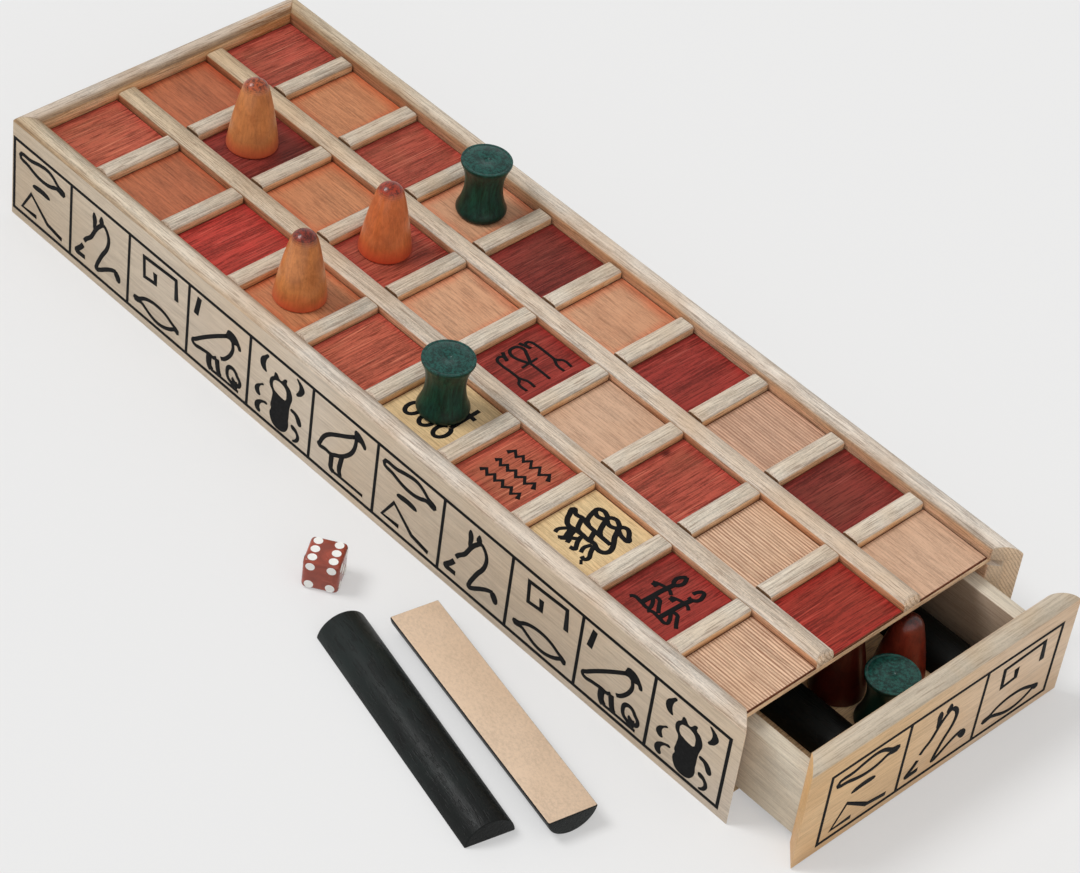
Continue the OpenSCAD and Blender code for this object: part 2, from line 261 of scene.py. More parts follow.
def close(piece):
    """Merge doubles, drop loose points and turn every face outwards."""
    with editing(piece):
        bpy.ops.mesh.select_all(action="SELECT")
        bpy.ops.mesh.remove_doubles(threshold=DOUBLE)
        bpy.ops.mesh.delete_loose()
        bpy.ops.mesh.normals_make_consistent(inside=False)


def finish_piece(piece, body, material):
    """Give a piece its material and let it ride on its body."""
    if material is not None:
        piece.data.materials.clear()
        piece.data.materials.append(material)
    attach(piece, body)


def finish_faces(piece, material, test):
    """Give the faces that pass a test a material of their own."""
    piece.data.materials.append(material)
    with editing(piece):
        pick(test)
        piece.active_material_index = len(piece.data.materials) - 1
        bpy.ops.object.material_slot_assign()


def sanded(node, edge, body, material):
    """A merged copy of a CAD node with eased edges, finished to stand for the node."""
    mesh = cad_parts[node].data.copy()
    piece = bpy.data.objects.new(node + "_eased", mesh)
    bpy.context.scene.collection.objects.link(piece)
    mesh.name = piece.name
    with editing(piece):
        bpy.ops.mesh.select_all(action="SELECT")
        bpy.ops.mesh.customdata_custom_splitnormals_clear()
        bpy.ops.mesh.remove_doubles(threshold=DOUBLE)
        bpy.ops.mesh.dissolve_limited(angle_limit=math.radians(0.5))
    ease(piece, edge)
    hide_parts(node)
    finish_piece(piece, body, material)


def refinish(node, material):
    """Give a CAD node that stays in sight a better material."""
    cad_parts[node].material_slots[0].material = material


# Materials

class Nodes:
    """Adds nodes to a tree and joins them."""

    def __init__(self, tree):
        self.tree = tree

    def add(self, kind, inputs=(), **settings):
        node = self.tree.nodes.new("ShaderNode" + kind)
        for key, value in settings.items():
            setattr(node, key, value)
        for key, value in dict(inputs).items():
            self.put(node.inputs[key], value)
        return node

    def put(self, socket, value):
        """Set a socket to a value, or join it to another socket."""
        if isinstance(value, bpy.types.NodeSocket):
            self.tree.links.new(value, socket)
        elif isinstance(value, tuple) and socket.type == "RGBA":
            socket.default_value = (*value[:3], 1)
        else:
            socket.default_value = value

    def math(self, operation, *values):
        node = self.add("Math", operation=operation)
        for socket, value in zip(node.inputs, values):
            self.put(socket, value)
        return node.outputs[0]

    def before_backdrop(self, lit, plain, share=1.0):
        """A lit shader that gives way to a plain one for rays that see the backdrop straight,
        mirrored or through glass."""
        rays = self.add("LightPath").outputs
        seen = rays["Is Camera Ray"]
        for kind in ("Is Glossy Ray", "Is Transmission Ray"):
            seen = self.math("MAXIMUM", seen, rays[kind])
        mixer = self.add("MixShader")
        for socket, value in zip(mixer.inputs, (self.math("MULTIPLY", seen, share), lit, plain)):
            self.put(socket, value)
        return mixer.outputs[0]


class Finish(Nodes):
    """Builds the node tree of one material."""

    # Sockets of a colour mix: its factor and two colours, and its result
    mix_inputs = (0, 6, 7)
    mix_result = 2

    def __init__(self, name):
        self.material = bpy.data.materials.new(name)
        self.material.use_nodes = True
        super().__init__(self.material.node_tree)
        self.shader = self.tree.nodes["Principled BSDF"]

    def mix(self, factor, first, second, blend="MIX"):
        node = self.add("Mix", data_type="RGBA", blend_type=blend, clamp_factor=True)
        for number, value in zip(self.mix_inputs, (factor, first, second)):
            self.put(node.inputs[number], value)
        return node.outputs[self.mix_result]

    def noise(self, coordinates, scale, detail=3.0, roughness=0.55, distortion=0.0):
        return self.add("TexNoise", {
            "Vector": coordinates, "Scale": scale, "Detail": detail,
            "Roughness": roughness, "Distortion": distortion,
        }).outputs["Fac"]

    def between(self, value, low, high, to_low=0.0, to_high=1.0):
        """A value that goes from one level to another while the given one goes from low to high."""
        return self.add("MapRange", {
            "Value": value, "From Min": low, "From Max": high, "To Min": to_low, "To Max": to_high,
        }, clamp=True).outputs[0]

    def rubbed(self, pattern, start, end):
        """Roughness that follows a pattern."""
        return self.between(pattern, 0.3, 0.7, start, end)

    def bump(self, height, strength, distance):
        node = self.add("Bump", {"Strength": strength, "Distance": distance, "Height": height})
        self.put(self.shader.inputs["Normal"], node.outputs[0])

    def places(self, turn=0.0):
        """Object coordinates, turned for a piece that lies at an angle."""
        where = self.add("TexCoord").outputs["Object"]
        if turn:
            where = self.add("VectorRotate", {"Vector": where, "Angle": -turn},
                             rotation_type="Z_AXIS").outputs[0]
        return where

    def split(self, vector):
        """The parts of a vector by axis."""
        return dict(zip("XYZ", self.add("SeparateXYZ", {"Vector": vector}).outputs))

    def facing(self, normal="Normal"):
        """How much a face looks along each axis."""
        return self.split(self.add("NewGeometry").outputs[normal])

    def surface(self, paint, rough, gloss=None, coat=None, coat_rough=None):
        """Join the colour and the sheen to the shader."""
        values = {
            "Base Color": paint, "Roughness": rough, "Specular IOR Level": gloss,
            "Coat Weight": coat, "Coat Roughness": coat_rough,
        }
        for name, value in values.items():
            if value is not None:
                self.put(self.shader.inputs[name], value)
        return self.material


def tinted(value, *factors):
    """A colour with each of its parts made darker or lighter."""
    return tuple(min(1.0, c * factor) for c, factor in zip(value, factors))


def shade(value, factor):
    """A colour made darker or lighter by one factor."""
    return tinted(value, factor, factor, factor)


class Wood(Finish):
    """Wood with its grain along one axis. Tints are laid on it in zones before it is closed."""

    # What the fine streaks, the broad streaks and the grit count for in the grain
    fine_share, broad_share, grit_share = 0.6, 0.25, 0.15
    # Levels of the grain at its darkest, plain and at its lightest
    dark_at, plain_at, light_at = 0.42, 0.5, 0.58
    pore_depth = 0.3 * MM
    # Noise scales of the broad patches of colour and of the grit
    patch_scale, grit_scale = 26, 1300

    def __init__(self, name, tone, axis="X", depth=0.35, streaks=95, stretch=14, pores=0.5,
                 blotch=0.35, warm=None, roughness=0.5, turn=0.0):
        super().__init__(name)
        self.tone, self.axis, self.streaks, self.roughness = tone, axis, streaks, roughness
        self.where = self.places(turn)
        self.x, self.y, self.z = self.split(self.where).values()
        self.looks = self.facing()
        self.upright = self.between(self.looks["Z"], 0.4, 0.7, 1, 0)
        grain = self.drawn_out(stretch)
        self.fine = self.noise(grain, streaks, 5, 0.75, 0.2)
        self.patches = self.noise(self.where, self.patch_scale, 3, 0.6, 0.4)
        broad = self.noise(grain, streaks / 8, 2, 0.5, 0.4)
        grit = self.noise(self.where, self.grit_scale, 2, 0.6)
        level = self.math("ADD", self.math("MULTIPLY", self.fine, self.fine_share),
                          self.math("MULTIPLY", broad, self.broad_share))
        level = self.math("ADD", level, self.math("MULTIPLY", grit, self.grit_share))
        ramp = self.add("ValToRGB", {"Fac": level})
        dark, light = ramp.color_ramp.elements
        dark.position, dark.color = self.dark_at, (*shade(tone, 1 - depth), 1)
        light.position, light.color = self.light_at, (*shade(tone, 1 + depth * 0.6), 1)
        ramp.color_ramp.elements.new(self.plain_at).color = (*tone, 1)
        self.paint = ramp.outputs[0]
        self.lay(self.between(self.patches, 0.42, 0.68, 0, blotch),
                 warm or tinted(tone, 0.9, 0.81, 0.7))
        dashes = self.noise(grain, streaks * 1.7, 2, 0.5)
        self.dash = self.between(dashes, 0.56, 0.62, 0, pores)
        self.lay(self.dash, tinted(tone, 0.42, 0.33, 0.28))

    def drawn_out(self, across, along=1.0):
        """Coordinates that are drawn out along the grain."""
        scale = tuple(along if self.axis == a else across for a in "XYZ")
        return self.add("Mapping", {"Vector": self.where, "Scale": scale}).outputs[0]

    def both(self, *masks):
        """The part that all the masks share."""
        shared = masks[0]
        for mask in masks[1:]:
            shared = self.math("MULTIPLY", shared, mask)
        return shared

    def lay(self, mask, colour):
        """Lay a colour over the paint where the mask lies."""
        self.paint = self.mix(mask, self.paint, colour)

    def calm(self, mask, amount):
        """Weaken the grain where the mask lies."""
        self.lay(self.math("MULTIPLY", mask, amount), self.tone)

    def tint(self, mask, *factors):
        """Make the colour under the mask darker or lighter in each of its parts."""
        self.lay(mask, self.mix(1.0, self.paint, factors, blend="MULTIPLY"))

    def towards(self, axis):
        """Faces that look along an axis, either way."""
        return self.between(self.math("ABSOLUTE", self.looks[axis]), 0.3, 0.8)

    def ridges(self, strength):
        """Dark lines of the late wood, close together and uneven."""
        across = {"X": "Y", "Y": "X"}[self.axis]
        wave = self.add("TexWave", {
            "Vector": self.drawn_out(1.0, 0.15), "Scale": 250, "Distortion": 4.6, "Detail": 3,
            "Detail Scale": 0.6, "Detail Roughness": 0.75,
        }, wave_type="BANDS", bands_direction=across).outputs["Fac"]
        self.lay(self.both(self.between(wave, 0.42, 0.66, 0, strength),
                           self.between(self.fine, 0.38, 0.6, 1, 0.6),
                           self.between(self.patches, 0.35, 0.7, 1, 0.7)),
                 tinted(self.tone, 0.36, 0.2, 0.14))

    def threads(self, strength):
        """A few thin light fibres."""
        thin = self.noise(self.drawn_out(40), self.streaks * 0.6, 2, 0.5)
        self.lay(self.between(thin, 0.62, 0.68, 0, strength), tinted(self.tone, 1.8, 2.8, 2.8))

    def pooled(self, strength, *factors):
        """Stain that gathered along the edges of the squares."""
        first = 4.5 * PITCH[0]  # from the middle of the case to that of the first squares
        off_x = self.math("PINGPONG", self.math("ADD", self.x, first), PITCH[0] / 2)
        off_y = self.math("PINGPONG", self.y, PITCH[1] / 2)
        edge = self.math("MAXIMUM", *(self.math("DIVIDE", off, clear)
                                      for off, clear in zip((off_x, off_y), CLEAR)))
        edge = self.math("ADD", edge, self.between(self.patches, 0.3, 0.7, -0.1, 0.1))
        self.tint(self.between(edge, 0.72, 1.0, 0, strength), *factors)

    def knot(self, x, y):
        """One small dark knot, drawn out a little along the grain."""
        off = self.add("VectorMath", {0: self.where, 1: (x, y, SQUARES_Z)}, operation="SUBTRACT")
        drawn = self.add("Mapping", {"Vector": off.outputs[0], "Scale": (1, 0.55, 1)}).outputs[0]
        far = self.add("VectorMath", {0: drawn}, operation="LENGTH").outputs["Value"]
        self.tint(self.between(far, 0.4 * MM, 1.6 * MM, 1, 0), 0.3, 0.22, 0.25)

    def closed(self, lift=0.12, gloss=0.3):
        """Join the colour, the sheen and the relief to the shader."""
        rough = self.rubbed(self.fine, self.roughness + 0.07, self.roughness - 0.07)
        self.bump(self.math("SUBTRACT", self.fine, self.dash), lift, self.pore_depth)
        return self.surface(self.paint, rough, gloss)


def made_once(name, make):
    """A material by name, made the first time that it is asked for."""
    return bpy.data.materials.get(name) or make(name)


def ash(axis):
    """Pale wood of the rails and strips: grey by the drawer, brown by the far end and the
    squares, there partly stain and partly painted shade and painted light. The rails and
    dividers lie along X, the end rail and the strips along Y."""
    tone = tuple(bpy.context.scene.senet_colours.ash)
    long_pieces = axis == "X"

    def make(name):
        wood = Wood(name, tone, axis, depth=0.38, streaks=60, stretch=32, pores=0.6,
                    blotch=0.45, warm=srgb(206, 176, 144), roughness=0.56)
        x, y, z, rise = wood.x, wood.y, wood.z, wood.looks["Z"]

        # Zones
        field = wood.both(wood.math("LESS_THAN", wood.math("ABSOLUTE", y), FIELD_Y),
                          wood.math("GREATER_THAN", x, FIELD_X))
        outside = wood.math("SUBTRACT", wood.upright, wood.both(wood.upright, field))
        cut = wood.between(wood.math("ABSOLUTE", wood.looks[axis]), 0.6, 0.68)
        inner = wood.both(wood.upright, field, wood.between(wood.patches, 0.3, 0.6, 0.75, 1.0),
                          wood.math("SUBTRACT", 1, cut))
        along_row = wood.both(inner, wood.towards("Y"))
        foot = wood.both(inner, wood.between(z, SQUARES_Z, 42 * MM, 1, 0),
                         wood.math("LESS_THAN", y, FAR_RAIL_Y))
        far_rail = wood.both(along_row, wood.math("GREATER_THAN", y, FAR_RAIL_Y),
                             wood.between(z, 40.5 * MM, 42.5 * MM))
        level = wood.between(rise, 0.85, 0.95)
        shoulder = wood.both(wood.between(rise, 0.35, 0.5), wood.between(rise, 0.72, 0.95, 1, 0))
        towards_end_rail = wood.between(x, -190 * MM, -10 * MM, 1, 0)
        yellowed = wood.between(wood.noise(wood.where, 9, 2), 0.45, 0.6, 0, 0.7)

        # Tints; several of them are painted shade and painted light, as marked below
        wood.calm(outside, 0.55)
        varnish = (0.78, 0.71, 0.56) if long_pieces else (0.86, 0.83, 0.8)
        wood.tint(wood.both(towards_end_rail, wood.between(outside, 0, 1, 0.9, 0.6)), *varnish)
        # Shoulders of the crowns: darker, partly stain along the edges and partly painted shade,
        # stronger towards the end rail
        wood.tint(wood.both(shoulder, wood.between(towards_end_rail, 0, 1, 0.35, 0.9)), 0.6, 0.46, 0.31)
        crown = (0.96, 0.9, 0.83) if long_pieces else (0.96, 0.95, 0.9)
        wood.tint(wood.both(field, level), *crown)
        wood.tint(outside, 0.95, 0.91, 0.86)
        wood.tint(wood.both(outside, yellowed), 0.97, 0.92, 0.82)
        # Inner sides by the squares: warmer and lighter, partly stain and partly painted light that
        # stands for light bounced off the squares onto sides in shade
        wood.tint(inner, 1.35, 1.06, 0.71)
        # Painted shade: the inner sides that face along the rows are darker
        wood.tint(along_row, 0.72, 0.6, 0.62)
        # Painted shade at the foot of the inner sides, where they meet the squares
        wood.tint(foot, 0.88, 0.68, 0.55)
        # Painted shade on the far rail's inner face
        wood.tint(far_rail, 0.78, 0.74, 0.66)
        # Painted shade on the sides along the rows, deeper towards the end rail
        wood.tint(wood.both(along_row, towards_end_rail), 0.63, 0.48, 0.46)
        if long_pieces:
            rings = wood.add("TexWave", {
                "Vector": wood.where, "Scale": 320, "Distortion": 3, "Detail": 3,
            }, bands_direction="DIAGONAL").outputs["Fac"]
            # Painted light: the end faces of the long pieces are made lighter where they stand in
            # shade; the darker rings drawn on them are the end grain's own
            wood.tint(cut, 1.38, 1.32, 1.24)
            wood.tint(wood.both(cut, wood.between(rings, 0.5, 0.9)), 0.74, 0.68, 0.62)
        else:
            # Painted shadow: the ends of the strips, in the narrow gaps by the rails, are darkened
            wood.tint(wood.both(cut, wood.upright, field), 0.27, 0.17, 0.1)
            flame = wood.both(wood.between(x, -186.5 * MM, -184.5 * MM),
                              wood.between(y, 30 * MM, 45 * MM),
                              wood.math("LESS_THAN", x, -181.2 * MM),
                              wood.between(wood.fine, 0.62, 0.48))
            wood.tint(flame, 0.88, 0.62, 0.4)
            wood.tint(wood.both(outside, level), 0.98, 1.04, 1.1)
        return wood.closed(lift=0.3)

    return made_once(f"ash_{axis}", make)


REDS = ("maroon", "oxblood", "crimson", "brick", "scarlet", "dusty")


def stain(kind, axis):
    """The stained veneers, by the name of their colour."""
    tone = tuple(getattr(bpy.context.scene.senet_colours, kind))

    def make(name):
        if kind in REDS:
            wood = Wood(name, tone, axis, depth=0.52, streaks=60, stretch=26, pores=0.8,
                        blotch=0.5, warm=tinted(tone, 0.8, 1.25, 1.0))
            wood.threads(0.55)
            wood.pooled(0.8, 1.05, 0.6, 0.75)
            if kind == "brick":
                wood.knot(*KNOT)
            return wood.closed(lift=0.3, gloss=0.14)
        if kind in ("rose", "ridged"):
            wood = Wood(name, tone, axis, depth=0.28, streaks=60, stretch=34, pores=0.5)
            wood.ridges(1.0 if kind == "ridged" else 0.7)
            return wood.closed(lift=0.3)
        if kind in ("straw", "blush"):
            return Wood(name, tone, axis, depth=0.24, streaks=70, stretch=24, pores=0.4,
                        blotch=0.3).closed()
        wood = Wood(name, tone, axis, depth=0.3, streaks=80, stretch=14, pores=0.4, blotch=0.5,
                    warm=tinted(tone, 1.0, 0.8, 0.7))
        wood.pooled(0.9, 1.0, 0.6, 0.5)
        return wood.closed()

    return made_once(f"{kind}_{axis}", make)


def turned_wood(name, tone, end_tone, end_from, end_to, mottle, coat, gloss=0.3,
                speckle=0.35, contrast=0.14, soaked=None):
    """Lacquered turned wood: grain upwards, and end grain that took more stain where a face
    looks up by more than end_from. A foot that stood in the stain is given by its height."""
    roughness = 0.34
    finish = Finish(name)
    where = finish.places()
    grain = finish.add("Mapping", {"Vector": where, "Scale": (10, 10, 1)}).outputs[0]
    fine = finish.noise(grain, 70, 5, 0.7, 0.3)
    broad = finish.noise(where, 150, 4, 0.65, 0.4)
    dash = finish.between(finish.noise(grain, 190, 3, 0.6), 0.55, 0.64, 0, speckle)
    paint = finish.mix(finish.between(fine, 0.35, 0.65),
                       shade(tone, 1 - contrast), shade(tone, 1 + contrast))
    paint = finish.mix(finish.between(broad, 0.44, 0.62, 0, mottle), paint, end_tone)
    paint = finish.mix(dash, paint, shade(tone, 0.35))
    if soaked is not None:
        ragged = finish.math("MULTIPLY", broad, 8 * MM)
        height = finish.math("ADD", finish.split(where)["Z"], ragged)
        wet = finish.between(height, soaked + 4 * MM, soaked + 11 * MM, 0.8, 0)
        paint = finish.mix(wet, paint, tinted(tone, 1.06, 0.38, 0.54))
    up = finish.between(finish.facing("True Normal")["Z"], end_from, end_to)
    dust = finish.between(finish.noise(where, 800, 3, 0.8), 0.42, 0.58)
    end_grain = finish.mix(dust, shade(end_tone, 0.45), shade(end_tone, 1.7))
    paint = finish.mix(up, paint, end_grain)
    finish.bump(finish.math("SUBTRACT", fine, dash), 0.12, 0.2 * MM)
    return finish.surface(paint, finish.rubbed(fine, roughness + 0.06, roughness - 0.06),
                          gloss, coat, 0.08)


def printed_ink():
    """Black ink that sank into the wood, so that grain shows through it a little."""
    tone = tuple(bpy.context.scene.senet_colours.ink)

    def make(name):
        finish = Finish(name)
        worn = finish.noise(finish.places(), 700, 4, 0.7)
        paint = finish.mix(finish.between(worn, 0.6, 0.75, 0, 0.4), tone, shade(tone, 4))
        finish.bump(worn, 0.15, 0.1 * MM)
        return finish.surface(paint, finish.rubbed(worn, 0.55, 0.75), 0.1)

    return made_once("ink", make)


# Signs. Points are in millimetres, across and up from a cell's lower left corner,
# or from the middle of a square.

def line(width, *points, straight=False, closed=False):
    """A drawn stroke."""
    return {"width": width, "points": points, "straight": straight, "closed": closed}


def blob(*points, hole=(), straight=False):
    """A filled shape, with a hole where one is given."""
    return {"points": points, "hole": hole, "straight": straight}


def arc(centre, radius, start, end, steps):
    """Points of an arc or of part of an ellipse, with angles in degrees."""
    across, up = radius if isinstance(radius, tuple) else (radius, radius)
    turns = [math.radians(start + (end - start) * k / steps) for k in range(steps + 1)]
    return [(centre[0] + across * math.cos(t), centre[1] + up * math.sin(t)) for t in turns]


EYE_AND_RAMP = [
    line(1.3, (3.4, 30.2), (10, 31.6), (15, 32.9), (19.5, 33.4), (22.5, 32.6), (26, 30.2),
         (29.5, 28.5), (25, 28.6), (22, 27.3), (17.5, 26.5), (13, 26.9), (8.5, 28.3), closed=True),
    blob((11, 20.4), (11.7, 21.7), (13.5, 22.3), (16, 22.6), (19, 22.4), (21, 21.6), (21.4, 20.7),
         (20.8, 20.2), (16, 20.1), (11.8, 20)),
    line(1.4, (13.6, 7.4), (5, 7.2), (10.3, 16.3), (20.2, 8.4), (28.8, 6.9), straight=True),
]
HORNED_SNAKE = [
    blob((13.9, 24.2), (12.7, 28), (12.6, 31.5), (13.3, 32.4), (14.2, 31.8), (15, 29.5),
         (14.6, 26.5)),
    blob((16.8, 29.3), (17, 32.6), (17.6, 33.2), (18.5, 32.4), (18.9, 30.6)),
    line(1.3, (8.1, 15.6), (9.4, 17.4), (11.8, 19.8), (13.2, 22.4), (14.6, 25.2), (16.8, 28.2),
         (18.8, 29.8), (20.4, 28.9), (21.9, 26.2), (22, 23.5), (21, 20), (18.9, 16.3), (17, 12.3),
         (15.6, 8.6), (15.5, 7.4), (17.2, 8), (20.6, 10.4), (24.7, 12.9), (27, 13.6)),
    blob((25.7, 12.5), (27.2, 14.1), (28.6, 13.3), (29.6, 10.8), (29, 9.5), (28, 9.3),
         (26.6, 10.6)),
    line(1.5, (7.6, 13.3), (6.2, 11.3), (4.4, 9.3), (3.7, 8.2), (6, 8), (8.8, 8.1)),
]
COURT_AND_MOUTH = [
    line(1.7, (14.8, 28), (15.2, 23.4), (9, 22.6), (8.4, 31.6), (26.4, 32.7), (27.1, 23.5),
         straight=True),
    line(1.2, (4, 9.5), (6.8, 10.6), (9.5, 12.4), (13, 13.6), (17, 14), (21, 13.5), (25, 11.8),
         (28.7, 9.4), (27, 9.9), (24.5, 8.4), (21, 6.9), (18, 6.4), (14.5, 6.8), (11, 8.2),
         (8, 9.5), closed=True),
]
CHICK_AND_COIL = [
    blob((4.6, 33.9), (6.9, 33.6), (5.5, 25.2), (2.9, 25.4), straight=True),
    line(1.2, (21.3, 27.2), (15, 22.6), (9.5, 18.2), (5, 14.2), (3.2, 12.4), (4, 11.4), (8, 11.8),
         (12.5, 12.4), (15, 12.3), (16.6, 13.4)),
    line(1.2, (24.6, 26), (24.9, 23.5), (24, 20.5), (22.2, 17.6), (20.3, 15.6), (18.8, 14.8)),
    blob((21, 26.2), (21.2, 29.3), (21.7, 30.3), (24.2, 30.7), (26.5, 29.8), (28, 28.2), (29.2, 26),
         (29, 25.2), (27.8, 25), (26.9, 26.2), (25.6, 26), (24, 25.8), (22.6, 26.4)),
    line(2.2, (12.6, 12.2), (12.5, 9.5), (13, 7.5), (14.2, 6.2)),
    line(1.9, (16.8, 13.2), (17.3, 10.5), (18, 8), (18.8, 6.6)),
    line(1.0, (14, 6.2), (20, 6.3), (29.2, 6.3)),
    line(1.3, (22.6, 11.5), (23.2, 13.8), (25.2, 14.8), (27, 14.2), (28, 12.9), (29.6, 11.3),
         (29.7, 9.9), (28.9, 8.8), (27.6, 8.5), (26.2, 7.7), (24.8, 8.2), (23.4, 9), closed=True),
    line(1.3, (26.5, 10.6), (26, 9.8), (27.2, 9.2), (28.5, 9.6)),
    line(1.2, (27.8, 8.2), (27.6, 6.6)),
]
SCARAB = [
    blob((9.9, 34.3), (7.6, 32.8), (6, 31), (5.6, 29), (6.4, 27), (8, 26.1), (9.4, 26.3), (9, 27.6),
         (8.6, 29.6), (9, 31.8)),
    blob((24.8, 34.4), (26.6, 34.1), (28.6, 32.6), (29.3, 31.2), (28.6, 29.2), (27, 27.4),
         (25.2, 26.9), (25.9, 28.8), (26.4, 30.4), (26.2, 32.2), (25.2, 33.6)),
    blob((8.4, 19.7), (6.2, 18.6), (4.4, 17), (3.7, 15.2), (4.4, 13.6), (5.8, 13), (7, 13.6),
         (6.6, 14.8), (6.2, 16.2), (6.8, 18)),
    blob((23, 18.9), (25, 19.2), (27.3, 18.4), (28.8, 16.4), (29, 14.8), (27.9, 14), (26.8, 14.6),
         (25.9, 16.2), (24.8, 17.4), (23, 17.9)),
    blob((10.6, 12.6), (8.4, 12.2), (6.2, 11), (4.6, 9.2), (4.3, 7.4), (5.2, 5.9), (7.2, 5.7),
         (7.6, 6.6), (7, 8), (7.4, 9.8), (8.8, 11.2), (10.9, 11.9)),
    blob((23.8, 11.9), (25.6, 12.2), (27.6, 10.8), (28.6, 9), (28.2, 7), (26.9, 5.6), (25, 5.2),
         (26.3, 6.8), (26.9, 8.4), (26.2, 9.8), (24.2, 10.4)),
    blob((12.9, 20), (11.6, 21.5), (11.1, 23.5), (11.8, 25.8), (13.2, 27.3), (13.4, 28.6),
         (14, 29.5), (16.9, 27.6), (19.2, 29.9), (20.1, 29.8), (20, 28.2), (21.6, 27.2), (23, 25.2),
         (23.4, 23.2), (22.9, 21), (22.4, 18.5), (22.3, 14), (22.2, 12.5), (22.5, 10), (21.5, 7),
         (19.5, 5.3), (17, 4.9), (14.6, 5.5), (13, 7.4), (12.3, 10), (12.9, 12.2), (12.5, 13),
         (12.8, 16), hole=((13, 23.5), (13.6, 25.4), (15, 26.2), (18.2, 26.2), (19.8, 25),
         (20.3, 22.8), (19.9, 20.6), (18, 20.3), (15.2, 20.8), (13.8, 21.4))),
]
STANDING_BIRD = [
    line(1.25, (22.2, 30.2), (18, 27.4), (13, 24.4), (9, 21.6), (6.6, 18.6), (5, 14.8), (4.6, 14.1),
         (8, 14.2), (11.5, 14.1), (13.5, 15.2), (16.2, 16.7), (19.4, 19.6), (21.8, 23.2),
         (22.8, 27), (22.9, 30)),
    blob((21.7, 31.2), (21.9, 33.2), (23.2, 33.6), (25.4, 32.7), (27.4, 30.8), (28.1, 29),
         (27.2, 28), (26, 28.8), (24.8, 29.4), (23.4, 29), (22, 29.8)),
    line(1.7, (11.6, 14), (11.6, 10), (11.8, 7.8), (13.2, 7)),
    line(1.6, (16.8, 17.2), (16.2, 13), (15.9, 10), (16.6, 7.8)),
    line(1.0, (12.6, 7), (17, 7.2), (28.6, 7.3)),
]
FRIEZE = (EYE_AND_RAMP, HORNED_SNAKE, COURT_AND_MOUTH, CHICK_AND_COIL, SCARAB, STANDING_BIRD)


def good_sign(x):
    """A loop on a stem with a crossbar, whose middle lies at x."""
    return [
        line(1.4, *arc((x, -6.2), (2.4, 3.6), 110, 430, 12)),
        line(1.4, (x + 0.6, -2.8), (x + 0.3, 4), (x, 11)),
        line(1.4, (x - 2.4, 6.8), (x + 2.8, 6.5)),
    ]


BEAUTY = good_sign(-7.2) + good_sign(0) + good_sign(7.2)
WATER = [
    line(1.45, (-9, 4.8), (-7.7, 7.5), (-5.3, 5.6), (-4.2, 7.9), (-2.1, 6), (-0.7, 8.5), (1.6, 5.8),
         (3.3, 8.7), (5.8, 5.8), (7.9, 8.8), (10, 6), straight=True),
    line(1.45, (-8.6, -1.1), (-7.6, 0.6), (-5.5, -1.5), (-4.2, 0.6), (-2.1, -1.3), (-0.5, 1),
         (1.8, -1.2), (3.7, 1.3), (6, -1), (7.9, 1.9), (9.8, -0.6), straight=True),
    line(1.45, (-8.4, -8.3), (-7.1, -6.3), (-4.8, -8.3), (-3.4, -6), (-1.1, -8.1), (0.4, -5.8),
         (2.7, -8.1), (4.7, -5.8), (6.8, -8.1), (8.5, -5.6), (10, -8.1), straight=True),
]
TRUTHS = [
    line(1.5, (-7.3, 10.2), (-5.7, 11.5), (-3.6, 11.1), (-2.2, 10), (-4, 8.2), (-6.1, 8.5),
         closed=True),
    line(1.5, (-2, 10.2), (-0.1, 12), (1.8, 11.5), (3.3, 10), (1.4, 8.3), (-0.7, 8.8), closed=True),
    line(1.5, (3.7, 10.2), (5.3, 11.9), (7.2, 11.2), (8.7, 9.6), (10.1, 8.1), (8, 7.8), (5.4, 8.5),
         closed=True),
    line(1.5, (-7.4, 10.2), (-6.9, 7.6), (-6.2, 5.4), (-5.1, 3.6), (-3.6, 2.8)),
    line(1.6, (-1.6, 8.8), (-0.4, 6), (1, 3.6), (2.6, 2.3)),
    line(1.6, (4.3, 8.8), (6, 5.6), (8, 3.2), (9.4, 0.9), (9.6, -1), (8.3, -2.6), (6.2, -2.8),
         (3.7, -1.8), (1.4, -2.2), (-2.8, -2.1), (-5.1, -2.5), (-7.8, -2.7), (-9.7, -1.3),
         (-11.1, 1), (-12.1, 4.2), (-10.8, 3.3)),
    line(1.5, (-11, 3.4), (-9.5, 2.9), (-7.2, 3.5), (-4.4, 2.7), (-0.1, 2.4), (2.6, 2.3),
         (7.6, 2.2)),
    line(1.5, (-7.2, 3.4), (-5.9, 0.8), (-4.3, -1.5), (-2.8, -2)),
    line(1.5, (-0.5, 3), (0.6, 0.7), (1.9, -1.5), (3.2, -2)),
    line(1.3, (-5.9, -2.8), (-7.7, -5.2), (-8.4, -7), (-7.9, -8.6)),
    line(1.3, (-5.9, -3.4), (-4.9, -6), (-4.4, -7.6), (-5.7, -9.4)),
    line(1.4, (-4.5, -3), (-3.7, -5.4), (-2.6, -7), (-1.9, -8.8)),
    line(1.4, (-1, -4.6), (-2.6, -6.2), (-3.6, -7.7), (-5, -9.1)),
    line(1.4, (-1.1, -3), (-0.1, -5.6), (1.4, -7.8), (1.9, -8.7), (0.1, -9.4)),
    line(1.3, (3.9, -3), (3.2, -5.8), (4.2, -8.3)),
    line(1.4, (4.8, -3), (6.3, -5.8), (7.8, -8.3), (7.2, -9.6), (5.7, -9.3)),
    line(0.9, (6.8, -10.6), (8.3, -12.1)),
]


